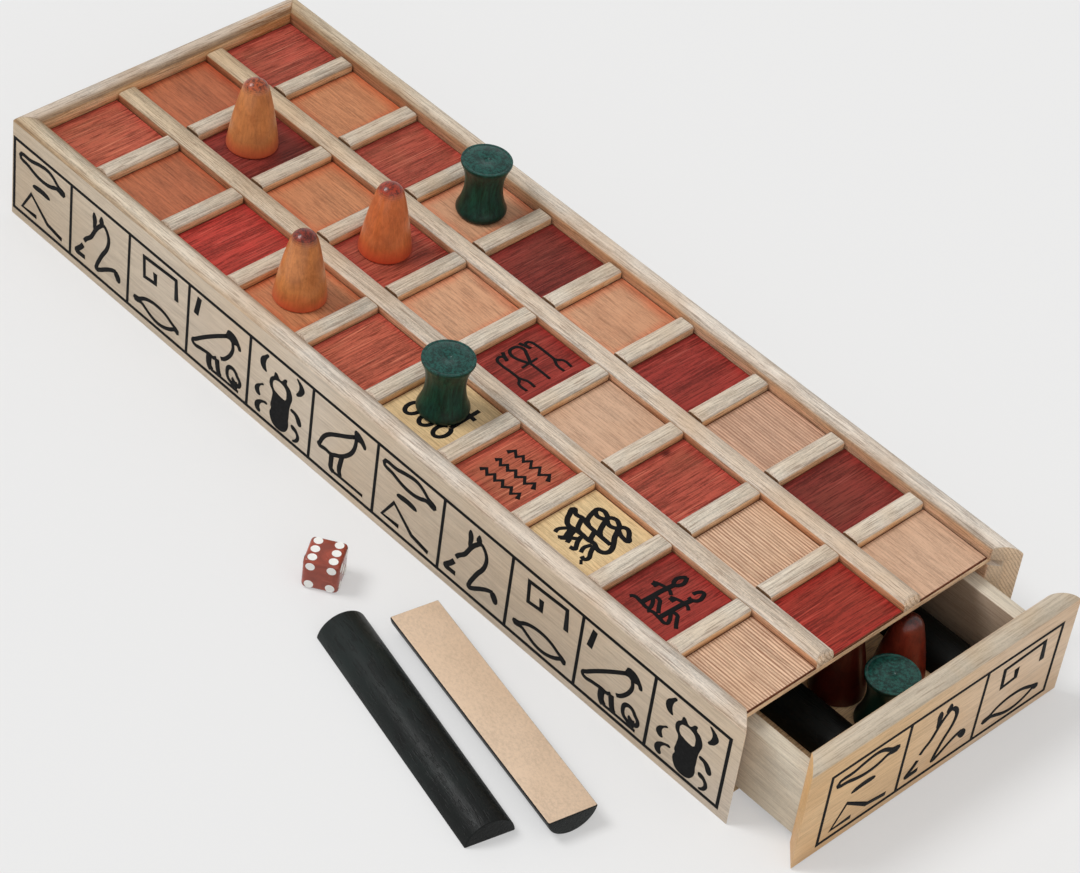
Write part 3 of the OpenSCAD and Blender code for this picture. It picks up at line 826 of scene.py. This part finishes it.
def walking_figure(x, y, head):
    """A looped stick figure with one leg forward, moved by x and y."""
    strokes = [
        (1.3, head),
        (1.6, [(-3.2, 6.2), (-3.7, 2), (-3.9, -2.5), (-4.1, -7.8)]),
        (1.7, [(-8.4, 1.3), (-7.2, 1.3), (-6.2, 1.2)]),
        (1.1, [(-8.6, 1.5), (-6.6, 2.5), (-3.6, 3.2), (-2.2, 3.1), (-0.5, 2)]),
        (1.2, [(-3.9, -2.8), (-1.1, -2.6), (-0.1, -3.7), (1.4, -5.6), (2.9, -7.2)]),
        (1.2, [(-3.6, -3.4), (-2.3, -4.6), (-1.1, -6.3), (-0.7, -8), (-4, -8.1), (-7.8, -8.1),
               (-8.6, -9.2)]),
    ]
    return [line(width, *[(px + x, py + y) for px, py in points]) for width, points in strokes]


HEAD = [(-3.2, 12.1), (-4.5, 10), (-4.7, 8.2), (-3.2, 6.3), (-1.8, 8.2), (-2, 10), (-3.2, 12.1)]
BEHIND = [(-5, 8.4), (-4.7, 10), (-3.3, 11.7), (-2, 10), (-1.7, 8), (-3, 6.3), (-4.8, 6.2)]
FIGURES = walking_figure(0, 0, HEAD) + walking_figure(8.5, -0.3, BEHIND)
REBIRTH = [
    line(1.1, (-0.7, 0.3), (-1.9, 1), (-4.6, 2.3), (-7.3, 3.3), (-9.4, 2.2), (-9.9, 0),
         (-9.3, -1.5), (-7.3, -2.5), (-4.6, -2.1), (-0.7, -0.3)),
    line(0.95, (-1, 0), (4, 0.2), (9.6, 0.2)),
    line(0.8, (-0.9, 4), (-0.6, 0), (-0.3, -4)),
]
for side, low in ((1, 0.0), (-1, 0.5)):
    REBIRTH += [
        line(1.0, (-6, side * 5.8), (-8.4, side * 5.4), (-9.2, side * 6.5),
             (-8.4, side * 7.8 - low), (-6.1, side * 8.3 - low), (-0.7, side * 8.5),
             (3.2, side * 8.5)),
        line(0.95, (9.5, side * 10.7), (5.3, side * 10.6), (4, side * 9.2), (3.2, side * 8.5),
             (4.3, side * 7.8), (6, side * 7), (9.6, side * 7)),
        line(1.2, (-10.4, side * 3.9), (-8.6, side * 4.8), (-6.3, side * 5.5)),
    ]


# A stroke is a flattened tube: half its width against the width as written, its height
# against its width, and how far its middle stands above the wood
STROKE_R = 0.62
STROKE_FLAT = 0.09
STROKE_RISE = 0.03 * MM


def draw_curve(name, marks, flat, bold=1.0):
    """One curve object that holds all the strokes, or all the filled shapes, of a sign."""
    bpy.ops.curve.primitive_bezier_curve_add()
    drawing = named(name)
    data = drawing.data
    data.splines.clear()
    data.dimensions = "2D" if flat else "3D"
    data.resolution_u = 4
    for points, width, straight, closed in marks:
        spline = data.splines.new("BEZIER")
        spline.bezier_points.add(len(points) - 1)
        spline.use_cyclic_u = closed
        for knot, (x, y) in zip(spline.bezier_points, points):
            knot.co = (x * MM, y * MM, 0)
            knot.radius = width * bold * STROKE_R
            knot.handle_left_type = knot.handle_right_type = "VECTOR" if straight else "AUTO"
    if flat:
        data.fill_mode = "BOTH"
        data.extrude = bpy.context.scene.senet_sizes.ink_h
    else:
        data.fill_mode = "FULL"
        data.bevel_depth = MM
        data.bevel_resolution = 2
        data.use_fill_caps = True
    select_only(drawing)
    bpy.ops.object.convert(target="MESH")
    return named(name)


def draw_sign(name, marks, bold=1.0):
    """A sign in ink, flat on the plane through its own corner."""
    strokes = [(m["points"], m["width"], m["straight"], m["closed"]) for m in marks if "width" in m]
    shapes = [m for m in marks if "width" not in m]
    parts = []
    if strokes:
        drawn = draw_curve(name + "_strokes", strokes, False, bold)
        place(drawn, (0, 0, STROKE_RISE), scale=(1, 1, STROKE_FLAT))
        parts.append(drawn)
    if shapes:
        outlines = [(m["points"], 1, m["straight"], True) for m in shapes]
        outlines += [(m["hole"], 1, False, True) for m in shapes if m["hole"]]
        parts.append(draw_curve(name + "_shapes", outlines, True))
    sign = joined(name, parts)
    close(sign)
    sign.data.materials.clear()
    sign.data.materials.append(printed_ink())
    return sign


def draw_border(name, cells, cell_l, foot, head):
    """A ruled border with a line between every two cells, from its lower left corner."""
    sizes = bpy.context.scene.senet_sizes
    wide, high = cells * cell_l, head - foot
    nearly = 0.01 * MM
    bpy.ops.mesh.primitive_grid_add(x_subdivisions=cells, y_subdivisions=1, size=1)
    border = named(name)
    place(border, scale=(wide, high, 1))
    with editing(border):
        bpy.ops.mesh.select_all(action="SELECT")
        bpy.ops.mesh.inset(thickness=sizes.border_w / 2, depth=0, use_individual=True)
        bpy.ops.mesh.delete(type="FACE")
        for axis, size in enumerate((wide, high)):
            stretch = [1, 1, 1]
            stretch[axis] += sizes.border_w / size
            pick(lambda v: abs(v.co[axis]) > size / 2 - nearly, "VERT")
            bpy.ops.transform.resize(value=stretch, center_override=(0, 0, 0))
    apply_modifier(border, "SOLIDIFY", thickness=2 * sizes.ink_h, offset=0)
    place(border, (wide / 2, high / 2, 0))
    border.data.materials.append(printed_ink())
    return border


# Shaping

def turned(name, rings):
    """Turn a piece on the lathe: rings of (radius, height) in millimetres, from the foot's
    flat to the point on top."""
    sides = bpy.context.scene.senet_sizes.turned_sides
    point = 0.001  # radius at which the rings close
    radius, height = rings[0]
    bpy.ops.mesh.primitive_circle_add(
        vertices=sides, radius=radius * MM, fill_type="NGON", location=(0, 0, 0)
    )
    piece = named(name)
    with editing(piece):
        bpy.ops.mesh.select_all(action="SELECT")
        for next_radius, next_height in rings[1:]:
            bpy.ops.mesh.extrude_region_move(
                TRANSFORM_OT_translate={"value": (0, 0, (next_height - height) * MM)}
            )
            factor = max(next_radius, point) / radius
            bpy.ops.transform.resize(
                value=(factor, factor, 1), center_override=(0, 0, next_height * MM)
            )
            radius, height = max(next_radius, point), next_height
        bpy.ops.mesh.merge(type="CENTER")
    close(piece)
    smooth(piece, 38)
    return piece


def standing_at(node):
    """Middle of a node's foot."""
    low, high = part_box(node)
    return Vector(((low.x + high.x) / 2, (low.y + high.y) / 2, low.z))


def stand_pawns(kind, pattern, woods):
    """Stand a copy of a turned pattern in the place of each pawn of a kind."""
    for number, wood in woods.items():
        node = f"{kind}_pawn_{number}"
        piece = twin(pattern, f"{kind}_{number}")
        place(piece, standing_at(node))
        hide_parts(node)
        finish_piece(piece, node + "_body", wood)
    discard(pattern)


# The operators, one for each kind of piece

class SENET_OT_rails(bpy.types.Operator):
    """Finish the three mitred rails of the case"""

    bl_idname = "senet.rails"
    bl_label = "Rails"

    def execute(self, context):
        eased = context.scene.senet_sizes.eased
        for node, axis in (("near_side_rail", "X"), ("far_side_rail", "X"), ("end_rail", "Y")):
            sanded(node, eased, "case", ash(axis))
        return {"FINISHED"}


class SENET_OT_boards(bpy.types.Operator):
    """Finish the bottom board and the board that carries the squares"""

    bl_idname = "senet.boards"
    bl_label = "Boards"

    edge = 0.15 * MM

    def execute(self, context):
        tone = tuple(context.scene.senet_colours.board)
        plain = Wood("board_wood", tone, depth=0.25, pores=0.4, roughness=0.6)
        pale = Wood("panel_wood", srgb(240, 208, 172), "Y", depth=0.3, roughness=0.6)
        sanded("playing_panel", self.edge, "case", pale.closed())
        refinish("base_panel", plain.closed())
        return {"FINISHED"}


class SENET_OT_dividers(bpy.types.Operator):
    """Finish the two long dividers and the three rows of short strips"""

    bl_idname = "senet.dividers"
    bl_label = "Dividers and strips"

    edge = 0.2 * MM

    def execute(self, context):
        pieces = [("near_long_divider", "X"), ("far_long_divider", "X")]
        pieces += [(row + "_strips", "Y") for row in ROWS]
        for node, axis in pieces:
            sanded(node, self.edge, "case", ash(axis))
        return {"FINISHED"}


# Stain and grain direction of each square, from the end rail to the drawer
SQUARES = {
    "near_row": ("dusty Y", "amber X", "scarlet Y", "tan X", "dusty Y",
                 "straw X", "dusty Y", "straw X", "oxblood Y", "ridged X"),
    "middle_row": ("amber X", "maroon Y", "tan X", "brick Y", "peach X",
                   "oxblood Y", "blush X", "brick Y", "ridged X", "crimson Y"),
    "far_row": ("brick Y", "tan X", "brick Y", "peach X", "maroon Y",
                "peach X", "oxblood Y", "rose X", "maroon Y", "blush X"),
}
MARKED = {
    ("near_row", 5): ("beauty", BEAUTY),
    ("near_row", 6): ("water", WATER),
    ("near_row", 7): ("truths", TRUTHS),
    ("near_row", 8): ("figures", FIGURES),
    ("middle_row", 5): ("rebirth", REBIRTH),
}


def square_box(row, column):
    """Low and high corner of one square, from the CAD nodes that hold the squares."""
    tiles_low, tiles_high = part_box(row + "_pale_squares")
    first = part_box("far_row_red_squares")[0].x
    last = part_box("near_row_pale_squares")[1].x
    marked_low, marked_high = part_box("beauty_square")
    marked_column = 5
    low_x = first + column * (marked_low.x - first) / marked_column
    high_x = min(low_x + marked_high.x - marked_low.x, last)
    return (low_x, tiles_low.y, tiles_low.z), (high_x, tiles_high.y, tiles_high.z)


class SENET_OT_squares(bpy.types.Operator):
    """Lay the thirty stained veneer squares"""

    bl_idname = "senet.squares"
    bl_label = "Squares"

    level = 0.99  # a face whose normal rises more than this is level
    field = 100 * MM ** 2  # a stained field is larger than this, and no other face is

    def pattern(self, sizes):
        """A square at its full size with eased upper edges and a joint marked all round."""
        low, high = square_box("near_row", 0)
        bpy.ops.mesh.primitive_cube_add(size=1, location=(0, 0, 0))
        pattern = named("square_pattern")
        place(pattern, scale=tuple(h - l for l, h in zip(low, high)))
        with editing(pattern):
            pick(lambda e: all(v.co.z > 0 for v in e.verts), "EDGE")
            bpy.ops.mesh.bevel(offset=sizes.tile_eased, segments=2)
            pick(lambda f: f.normal.z > self.level)
            bpy.ops.mesh.inset(thickness=sizes.joint_w, depth=0)
        return pattern

    def in_joint(self, face):
        """Whether a face of a square is anything but its stained field."""
        return not (face.normal.z > self.level and len(face.verts) == 4
                    and face.calc_area() > self.field)

    def execute(self, context):
        # The ring round each square is a dark joint together with painted shade where the squares
        # meet the strips and rails
        darkening = Wood("joint_dirt", srgb(104, 62, 44), depth=0.5, roughness=0.8).closed(gloss=0.1)
        pattern = self.pattern(context.scene.senet_sizes)
        full = pattern.dimensions.x
        for row, kinds in SQUARES.items():
            for column, kind in enumerate(kinds):
                low, high = square_box(row, column)
                tone, axis = kind.split()
                square = twin(pattern, f"{row}_square_{column + 1}")
                place(square, [(l + h) / 2 for l, h in zip(low, high)],
                      scale=((high[0] - low[0]) / full, 1, 1))
                marked = MARKED.get((row, column))
                group = "red" if tone in REDS else "pale"
                node = marked[0] + "_square" if marked else f"{row}_{group}_squares"
                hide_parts(node)
                finish_piece(square, "case", stain(tone, axis))
                finish_faces(square, darkening, self.in_joint)
        discard(pattern)
        return {"FINISHED"}


class SENET_OT_marks(bpy.types.Operator):
    """Print the signs on the five marked squares"""

    bl_idname = "senet.marks"
    bl_label = "Marks"

    def execute(self, context):
        for (row, column), (name, marks) in MARKED.items():
            low, high = square_box(row, column)
            sign = draw_sign(name + "_mark", marks)
            place(sign, ((low[0] + high[0]) / 2, (low[1] + high[1]) / 2, high[2]))
            finish_piece(sign, "case", None)
        return {"FINISHED"}


class SENET_OT_friezes(bpy.types.Operator):
    """Print the bordered signs along the case's side and on the drawer front"""

    bl_idname = "senet.friezes"
    bl_label = "Friezes"

    bold = 1.13
    side_cells = 11
    front_cells = 3
    side_shift = -1.86 * MM  # the side's border stands a little left of the rail's middle
    front_margin = 11.3 * MM

    def frieze(self, face, signs, cell_l, corner, turn, body, slot):
        """A border with its signs, from its corner on one face; the signs fit its cells."""
        sizes = bpy.context.scene.senet_sizes
        foot = Vector((0, 0, sizes.side_foot))
        border = draw_border(face + "_border", len(signs), cell_l, sizes.side_foot, sizes.side_head)
        place(border, corner + foot, turn)
        finish_piece(border, body, None)
        step = Matrix.Rotation(turn[2], 3, "Z") @ Vector((cell_l, 0, 0))
        for cell, pattern in enumerate(signs):
            sign = twin(pattern, f"{face}_sign_{cell + 1}")
            place(sign, corner + cell * step, turn, (cell_l / sizes.cell_l, 1, 1))
            finish_piece(sign, body, None)

    def execute(self, context):
        sizes = context.scene.senet_sizes
        signs = [draw_sign(f"sign_{k + 1}", marks, self.bold) for k, marks in enumerate(FRIEZE)]
        upright = math.radians(90)
        low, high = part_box("near_side_rail")
        side_x = (low.x + high.x) / 2 - sizes.cell_l * self.side_cells / 2 + self.side_shift
        self.frieze("side", [signs[k % len(signs)] for k in range(self.side_cells)], sizes.cell_l,
                    Vector((side_x, low.y, 0)), (upright, 0, 0), "case", "pale_wood")
        low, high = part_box("drawer_front")
        self.frieze("front", signs[:self.front_cells], sizes.front_cell_l,
                    Vector((high.x, low.y + self.front_margin, 0)), (upright, 0, upright),
                    "drawer", "front_wood")
        discard(*signs)
        return {"FINISHED"}


class SENET_OT_drawer(bpy.types.Operator):
    """Finish the drawer's front, sides, back and floor"""

    bl_idname = "senet.drawer"
    bl_label = "Drawer"

    front_edge = 0.15 * MM
    side_edge = 0.3 * MM

    def execute(self, context):
        tones = context.scene.senet_colours
        drawer_tone, honey_tone = tuple(tones.drawer), tuple(tones.honey)
        honey = Wood("honey_wood", honey_tone, "Y", depth=0.2, streaks=50, stretch=24, pores=0.35,
                     blotch=0.7, warm=tinted(honey_tone, 0.95, 0.76, 0.52))
        face = honey.both(honey.upright, honey.towards("X"))
        far_half = honey.both(face, honey.between(honey.y, -20 * MM, 30 * MM))
        honey.calm(honey.upright, 0.3)
        honey.tint(face, 1.32, 1.04, 0.73)
        honey.tint(far_half, 1, 1.1, 1.38)
        honey.tint(honey.both(honey.upright, honey.towards("Y")), 0.95, 0.8, 0.56)
        side = Wood("drawer_side_wood", drawer_tone, depth=0.16, streaks=60, stretch=26,
                    pores=0.3, warm=srgb(196, 176, 146), roughness=0.6)
        # Painted shade: the sides' inner faces, under the playing board, are darker
        outwards = side.math("MULTIPLY", side.y, side.looks["Y"])
        side.tint(side.math("LESS_THAN", outwards, -10 * MM), 0.62, 0.54, 0.5)
        back = Wood("drawer_back_wood", drawer_tone, "Y", depth=0.26, roughness=0.6)
        # Painted light: the floor is given a paler wood so that the bits of it seen between the
        # pieces look lit
        floor = Wood("drawer_floor_wood", srgb(246, 212, 168), "Y", depth=0.25, roughness=0.62)

        sanded("drawer_front", self.front_edge, "drawer", honey.closed(lift=0.18))
        plain = side.closed()
        for node in ("drawer_near_side", "drawer_far_side"):
            sanded(node, self.side_edge, "drawer", plain)
        refinish("drawer_back", back.closed())
        refinish("drawer_floor", floor.closed())
        return {"FINISHED"}


class SENET_OT_cones(bpy.types.Operator):
    """Turn the five cone pawns"""

    bl_idname = "senet.cones"
    bl_label = "Cone pawns"

    tip_r = 5.3
    foot_round = 0.8
    swell = 0.4
    # Lacquer of each pawn on the board against the colour of the wood, and colour of its tip
    lacquers = {
        1: ((1.0, 0.88, 0.86), (136, 60, 28)),
        2: ((1.03, 0.64, 0.6), (126, 36, 12)),
        3: ((1.02, 0.88, 0.82), (102, 26, 8)),
    }

    def section(self, foot, tall):
        """Rings of half the section: round foot, slightly swelling side, round tip."""
        low = Vector((foot - self.foot_round, self.foot_round))
        tip = Vector((0, tall - self.tip_r))
        chord = (tip - low).length
        side_r = (chord ** 2 / 4 + self.swell ** 2) / (2 * self.swell)
        to_foot, to_tip = side_r - self.foot_round, side_r - self.tip_r
        along = (to_foot ** 2 - to_tip ** 2 + chord ** 2) / (2 * chord)
        back = math.sqrt(to_foot ** 2 - along ** 2)
        up = (tip - low) / chord
        centre = low + along * up + back * Vector((-up.y, up.x))
        start, end = (math.degrees(math.atan2(*(spot - centre).yx)) for spot in (low, tip))
        return (arc(low, self.foot_round, -90, start, 5) + arc(centre, side_r, start, end, 6)[1:]
                + arc(tip, self.tip_r, end, 88, 9)[1:] + [(0, tall)])

    def execute(self, context):
        low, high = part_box("cone_pawn_1")
        rings = self.section((high.x - low.x) / 2 / MM, (high.z - low.z) / MM)
        tones = context.scene.senet_colours
        golden, dark = tuple(tones.cone), tuple(tones.cone_dark)
        woods = {}
        for number, (factors, tip) in self.lacquers.items():
            woods[number] = turned_wood(
                f"cone_wood_{number}", tinted(golden, *factors), srgb(*tip), end_from=0.25,
                end_to=0.7, mottle=0.3, speckle=0.2, coat=0.22, soaked=low.z,
            )
        # The two pawns in the drawer get darker lacquer as painted shade for the shade under the
        # playing board, one of them nearly black
        woods[4] = turned_wood("cone_wood_dark", dark, srgb(66, 20, 14), end_from=0.3,
                               end_to=0.9, mottle=0.5, coat=0.4)
        woods[5] = turned_wood("cone_wood_darkest", shade(dark, 0.3), srgb(40, 16, 12),
                               end_from=0.3, end_to=0.9, mottle=0.5, coat=0.3)
        stand_pawns("cone", turned("cone_pattern", rings), woods)
        return {"FINISHED"}


class SENET_OT_spools(bpy.types.Operator):
    """Turn the five spool pawns"""

    bl_idname = "senet.spools"
    bl_label = "Spool pawns"

    foot_round = 1.8
    foot_r = 9.45
    waist_r = 7.1
    waist_z = 12.6
    rim = 0.9
    # Rings on top: (in from the rim, down) for its rounded edge, (part of the rim's radius,
    # down) for the groove, and (radius, down) for the mark of the lathe
    edge = ((0, 0.25), (0.08, 0.08), (0.25, 0))
    groove = ((0.9, 0), (0.89, 0.06), (0.87, 0.06), (0.86, 0))
    mark = ((1.3, 0), (1.1, 0.15), (0.55, 0.4), (0, 0.5))

    def section(self, top_r, tall):
        """Rings of half the section: round foot, hollow side, rim, groove and mark."""
        rim_z = tall - self.rim
        foot_x = self.foot_r - self.foot_round
        out = foot_x - self.waist_r
        up = self.waist_z - self.foot_round
        low_arc = (out ** 2 + up ** 2 - self.foot_round ** 2) / (2 * (out + self.foot_round))
        over = top_r - self.waist_r
        high_arc = (over ** 2 + (rim_z - self.waist_z) ** 2) / (2 * over)
        touch = math.degrees(math.atan2(up, self.waist_r + low_arc - foot_x))
        flare = math.degrees(math.asin((rim_z - self.waist_z) / high_arc))
        rings = arc((foot_x, self.foot_round), self.foot_round, -90, touch, 6)
        rings += arc((self.waist_r + low_arc, self.waist_z), low_arc, 180 + touch, 180, 9)[1:]
        rings += arc((self.waist_r + high_arc, self.waist_z), high_arc, 180, 180 - flare, 9)[1:]
        rings += [(top_r - inwards, tall - down) for inwards, down in self.edge]
        rings += [(top_r * part, tall - down) for part, down in self.groove]
        return rings + [(radius, tall - down) for radius, down in self.mark]

    def execute(self, context):
        low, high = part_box("spool_pawn_1")
        rings = self.section((high.x - low.x) / 2 / MM, (high.z - low.z) / MM)
        tones = context.scene.senet_colours
        lacquer = turned_wood(
            "spool_wood", tuple(tones.spool), tuple(tones.spool_end), end_from=0.8, end_to=0.9,
            mottle=0.4, speckle=0.6, contrast=0.8, coat=0.1, gloss=0.2, soaked=low.z,
        )
        stand_pawns("spool", turned("spool_pattern", rings), dict.fromkeys(range(1, 6), lacquer))
        return {"FINISHED"}


class SENET_OT_sticks(bpy.types.Operator):
    """Shape the four half-round throw sticks"""

    bl_idname = "senet.sticks"
    bl_label = "Throw sticks"

    # Turn of each stick about its own middle, in degrees, and whether its flat side is up
    lie = {1: (0, False), 2: (0, False), 3: (-12.8, False), 4: (-11.4, True)}
    stick_w = 18.7 * MM
    sides = 88
    edge = 0.45 * MM
    edge_steps = 3
    edge_angle = 40

    def execute(self, context):
        low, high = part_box("throw_stick_1")
        long = high.x - low.x
        tall = high.z - low.z
        half = self.stick_w / 2
        round_r = (half ** 2 + tall ** 2) / (2 * tall)
        bpy.ops.mesh.primitive_cylinder_add(
            vertices=self.sides, radius=round_r, depth=long, rotation=(0, math.radians(90), 0)
        )
        stick = named("stick_pattern")
        place(stick, (0, 0, 0), stick.rotation_euler)
        with editing(stick):
            bpy.ops.mesh.select_all(action="SELECT")
            bpy.ops.mesh.bisect(plane_co=(0, 0, round_r - tall), plane_no=(0, 0, 1),
                                use_fill=True, clear_inner=True)
            bpy.ops.mesh.select_all(action="SELECT")
            bpy.ops.transform.translate(value=(0, 0, tall - round_r))
        ease(stick, self.edge, self.edge_steps, self.edge_angle)
        tones = context.scene.senet_colours
        for number, (yaw, flat_up) in self.lie.items():
            node = f"throw_stick_{number}"
            turn = math.radians(yaw)
            black = Wood(f"stick_black_{number}", tuple(tones.stick), depth=0.3, stretch=6,
                         roughness=0.42, turn=turn, warm=srgb(34, 46, 44))
            black.threads(0.12)
            bare = Wood(f"stick_bare_{number}", tuple(tones.stick_flat), depth=0.12, streaks=620,
                        stretch=1.5, pores=0, roughness=0.58, turn=turn, blotch=0.2)
            piece = twin(stick, f"stick_{number}")
            piece.data.materials.append(black.closed(lift=0.5, gloss=0.16))
            finish_faces(piece, bare.closed(), lambda f: f.normal.z < -0.95)
            low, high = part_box(node)
            middle_x, middle_y = (low.x + high.x) / 2, (low.y + high.y) / 2
            place(piece, (middle_x, middle_y, high.z if flat_up else low.z),
                  (math.pi if flat_up else 0, 0, turn))
            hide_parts(node)
            finish_piece(piece, node + "_body", None)
        discard(stick)
        return {"FINISHED"}


class SENET_OT_die(bpy.types.Operator):
    """Shape the die with its white pips"""

    bl_idname = "senet.die"
    bl_label = "Die"

    turn = math.radians(35)
    # Pips on each face, and how that face is turned from the upper one
    faces = {
        6: (0, 0, 0), 1: (math.pi, 0, 0), 4: (math.pi / 2, 0, 0), 3: (-math.pi / 2, 0, 0),
        5: (math.pi / 2, 0, math.pi / 2), 2: (math.pi / 2, 0, -math.pi / 2),
    }
    column = 3.7
    row = 4.1
    edge_steps = 5
    # A pip stands a little proud, narrows upwards and is dished inside its rim
    pip_sides = 28
    pip_h = 0.08 * MM
    pip_taper = 0.95
    pip_rim = 0.35 * MM
    pip_dish = 0.05 * MM

    def pip_spots(self, count):
        """Centres of the pips of one face."""
        out, up = self.column, self.row
        corners = [(-out, -up), (out, up), (-out, up), (out, -up)]
        spots = {1: [], 2: corners[:2], 3: corners[:2], 4: corners, 5: corners,
                 6: corners + [(-out, 0), (out, 0)]}[count]
        return spots + ([(0, 0)] if count % 2 else [])

    def execute(self, context):
        low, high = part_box("die")
        side = high.z - low.z
        centre = standing_at("die") + Vector((0, 0, side / 2))
        sizes = context.scene.senet_sizes
        bpy.ops.mesh.primitive_cube_add(size=side)
        die = named("die_body")
        with editing(die):
            bpy.ops.mesh.select_all(action="SELECT")
            bpy.ops.mesh.bevel(offset=sizes.die_r, segments=self.edge_steps, affect="EDGES")
        smooth(die, 40)
        place(die, centre, (0, 0, self.turn))
        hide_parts("die")
        tones = context.scene.senet_colours
        finish = Finish("die_finish")
        cloud = finish.noise(finish.places(), 160, 3, 0.6, 0.6)
        tone = tuple(tones.die)
        paint = finish.mix(finish.between(cloud, 0.35, 0.68), shade(tone, 0.75), shade(tone, 1.25))
        lacquer = finish.surface(paint, finish.rubbed(cloud, 0.2, 0.32), 0.3, 0.28)
        finish_piece(die, "die_body", lacquer)

        bpy.ops.mesh.primitive_circle_add(
            vertices=self.pip_sides, radius=sizes.pip_r, fill_type="NGON"
        )
        pip = named("pip_pattern")
        taper = (self.pip_taper, self.pip_taper, 1)
        with editing(pip):
            bpy.ops.mesh.select_all(action="SELECT")
            bpy.ops.mesh.extrude_region_move(TRANSFORM_OT_translate={"value": (0, 0, self.pip_h)})
            bpy.ops.transform.resize(value=taper, center_override=(0, 0, 0))
            bpy.ops.mesh.inset(thickness=self.pip_rim, depth=-self.pip_dish)
        pips = []
        for count, face_turn in self.faces.items():
            for number, (x, y) in enumerate(self.pip_spots(count)):
                spot = twin(pip, f"pip_{count}_{number}")
                place(spot, (x * MM, y * MM, side / 2))
                place(spot, (0, 0, 0), face_turn)
                pips.append(spot)
        white = joined("die_pips", pips)
        discard(pip)
        close(white)
        place(white, centre, (0, 0, self.turn))
        enamel = Finish("pip_enamel")
        darkening = enamel.between(enamel.noise(enamel.places(), 500, 3, 0.6), 0.55, 0.75, 0, 0.3)
        paint = enamel.mix(darkening, tuple(tones.pip), srgb(196, 208, 204))
        finish_piece(white, "die_body", enamel.surface(paint, 0.35))
        return {"FINISHED"}


class SENET_OT_stage(bpy.types.Operator):
    """Set the floor, the soft light and the camera"""

    bl_idname = "senet.stage"
    bl_label = "Stage"

    camera_spot = (0.63317, -0.69533, 0.85338)
    camera_turn = (47.287, -6.39, 46.915)
    lens = 118.2
    sensor = 36
    nearest = 50 * MM
    floor_span = 12
    floor_cuts = 4
    room_tint = (1.0, 0.995, 0.985)
    # Turn of each lamp in degrees
    key_turn = (36, 0, -50)
    fill_turn = (56, 0, 65)
    fill_softness = 70

    def floor(self, table, shadow):
        """A pale floor that shows its plain colour and a part of the set's shadow."""
        bpy.ops.mesh.primitive_plane_add(size=self.floor_span)
        floor = named("floor")
        with editing(floor):
            bpy.ops.mesh.select_all(action="SELECT")
            bpy.ops.mesh.subdivide(number_cuts=self.floor_cuts)
        finish = Finish("floor_paint")
        cloud = finish.between(finish.noise(finish.places(), 3, 2), 0.3, 0.7)
        finish.surface(finish.mix(cloud, table, shade(table, 0.995)), 0.9, 0.0)
        glow = finish.add("Emission", {"Color": table, "Strength": 1.0})
        shown = finish.before_backdrop(finish.shader.outputs[0], glow.outputs[0], 1 - shadow)
        finish.put(finish.tree.nodes["Material Output"].inputs["Surface"], shown)
        floor.data.materials.append(finish.material)

    def lamp(self, name, turn, energy, angle):
        bpy.ops.object.light_add(type="SUN", rotation=[math.radians(a) for a in turn])
        lamp = named(name)
        lamp.data.energy = energy
        lamp.data.angle = angle

    def execute(self, context):
        scene = context.scene
        light = scene.senet_light
        table = tuple(scene.senet_colours.table)
        self.floor(table, light.shadow)

        world = scene.world or bpy.data.worlds.new("studio")
        scene.world = world
        world.use_nodes = True
        world.node_tree.nodes.clear()
        room = Nodes(world.node_tree)
        lit = room.add("Background", {"Color": self.room_tint, "Strength": light.sky})
        plain = room.add("Background", {"Color": table, "Strength": 1.0})
        output = room.add("OutputWorld")
        room.put(output.inputs["Surface"], room.before_backdrop(lit.outputs[0], plain.outputs[0]))

        self.lamp("key_light", self.key_turn, light.sun, light.softness)
        self.lamp("fill_light", self.fill_turn, light.fill, math.radians(self.fill_softness))

        bpy.ops.object.camera_add(
            location=self.camera_spot, rotation=[math.radians(a) for a in self.camera_turn]
        )
        camera = named("camera")
        camera.data.lens = self.lens
        camera.data.sensor_width = self.sensor
        camera.data.clip_start = self.nearest
        scene.camera = camera
        scene.view_settings.view_transform = "Standard"
        return {"FINISHED"}


class SENET_PT_panel(bpy.types.Panel):
    """Lists the steps that build the set"""

    bl_label = "Senet board"
    bl_idname = "SENET_PT_panel"
    bl_space_type = "VIEW_3D"
    bl_region_type = "UI"
    bl_category = "Senet"

    def draw(self, context):
        scene = context.scene
        column = self.layout.column(align=True)
        for step in STEPS:
            column.operator(step.bl_idname)
        for group in (scene.senet_sizes, scene.senet_colours, scene.senet_light):
            box = self.layout.box()
            for key in group.bl_rna.properties.keys():
                if key not in ("rna_type", "name"):
                    box.prop(group, key)


STEPS = (
    SENET_OT_rails, SENET_OT_boards, SENET_OT_dividers, SENET_OT_squares, SENET_OT_marks,
    SENET_OT_friezes, SENET_OT_drawer, SENET_OT_cones, SENET_OT_spools, SENET_OT_sticks,
    SENET_OT_die, SENET_OT_stage,
)
GROUPS = (SenetWoodColours, SenetSizes, SenetLight)


def register():
    for kind in (*GROUPS, *STEPS, SENET_PT_panel):
        bpy.utils.register_class(kind)
    bpy.types.Scene.senet_colours = PointerProperty(type=SenetWoodColours)
    bpy.types.Scene.senet_sizes = PointerProperty(type=SenetSizes)
    bpy.types.Scene.senet_light = PointerProperty(type=SenetLight)


def unregister():
    del bpy.types.Scene.senet_light
    del bpy.types.Scene.senet_sizes
    del bpy.types.Scene.senet_colours
    for kind in reversed((*GROUPS, *STEPS, SENET_PT_panel)):
        bpy.utils.unregister_class(kind)


def main():
    register()
    for step in STEPS:
        family, action = step.bl_idname.split(".")
        getattr(getattr(bpy.ops, family), action)()


if __name__ == "__main__":
    main()
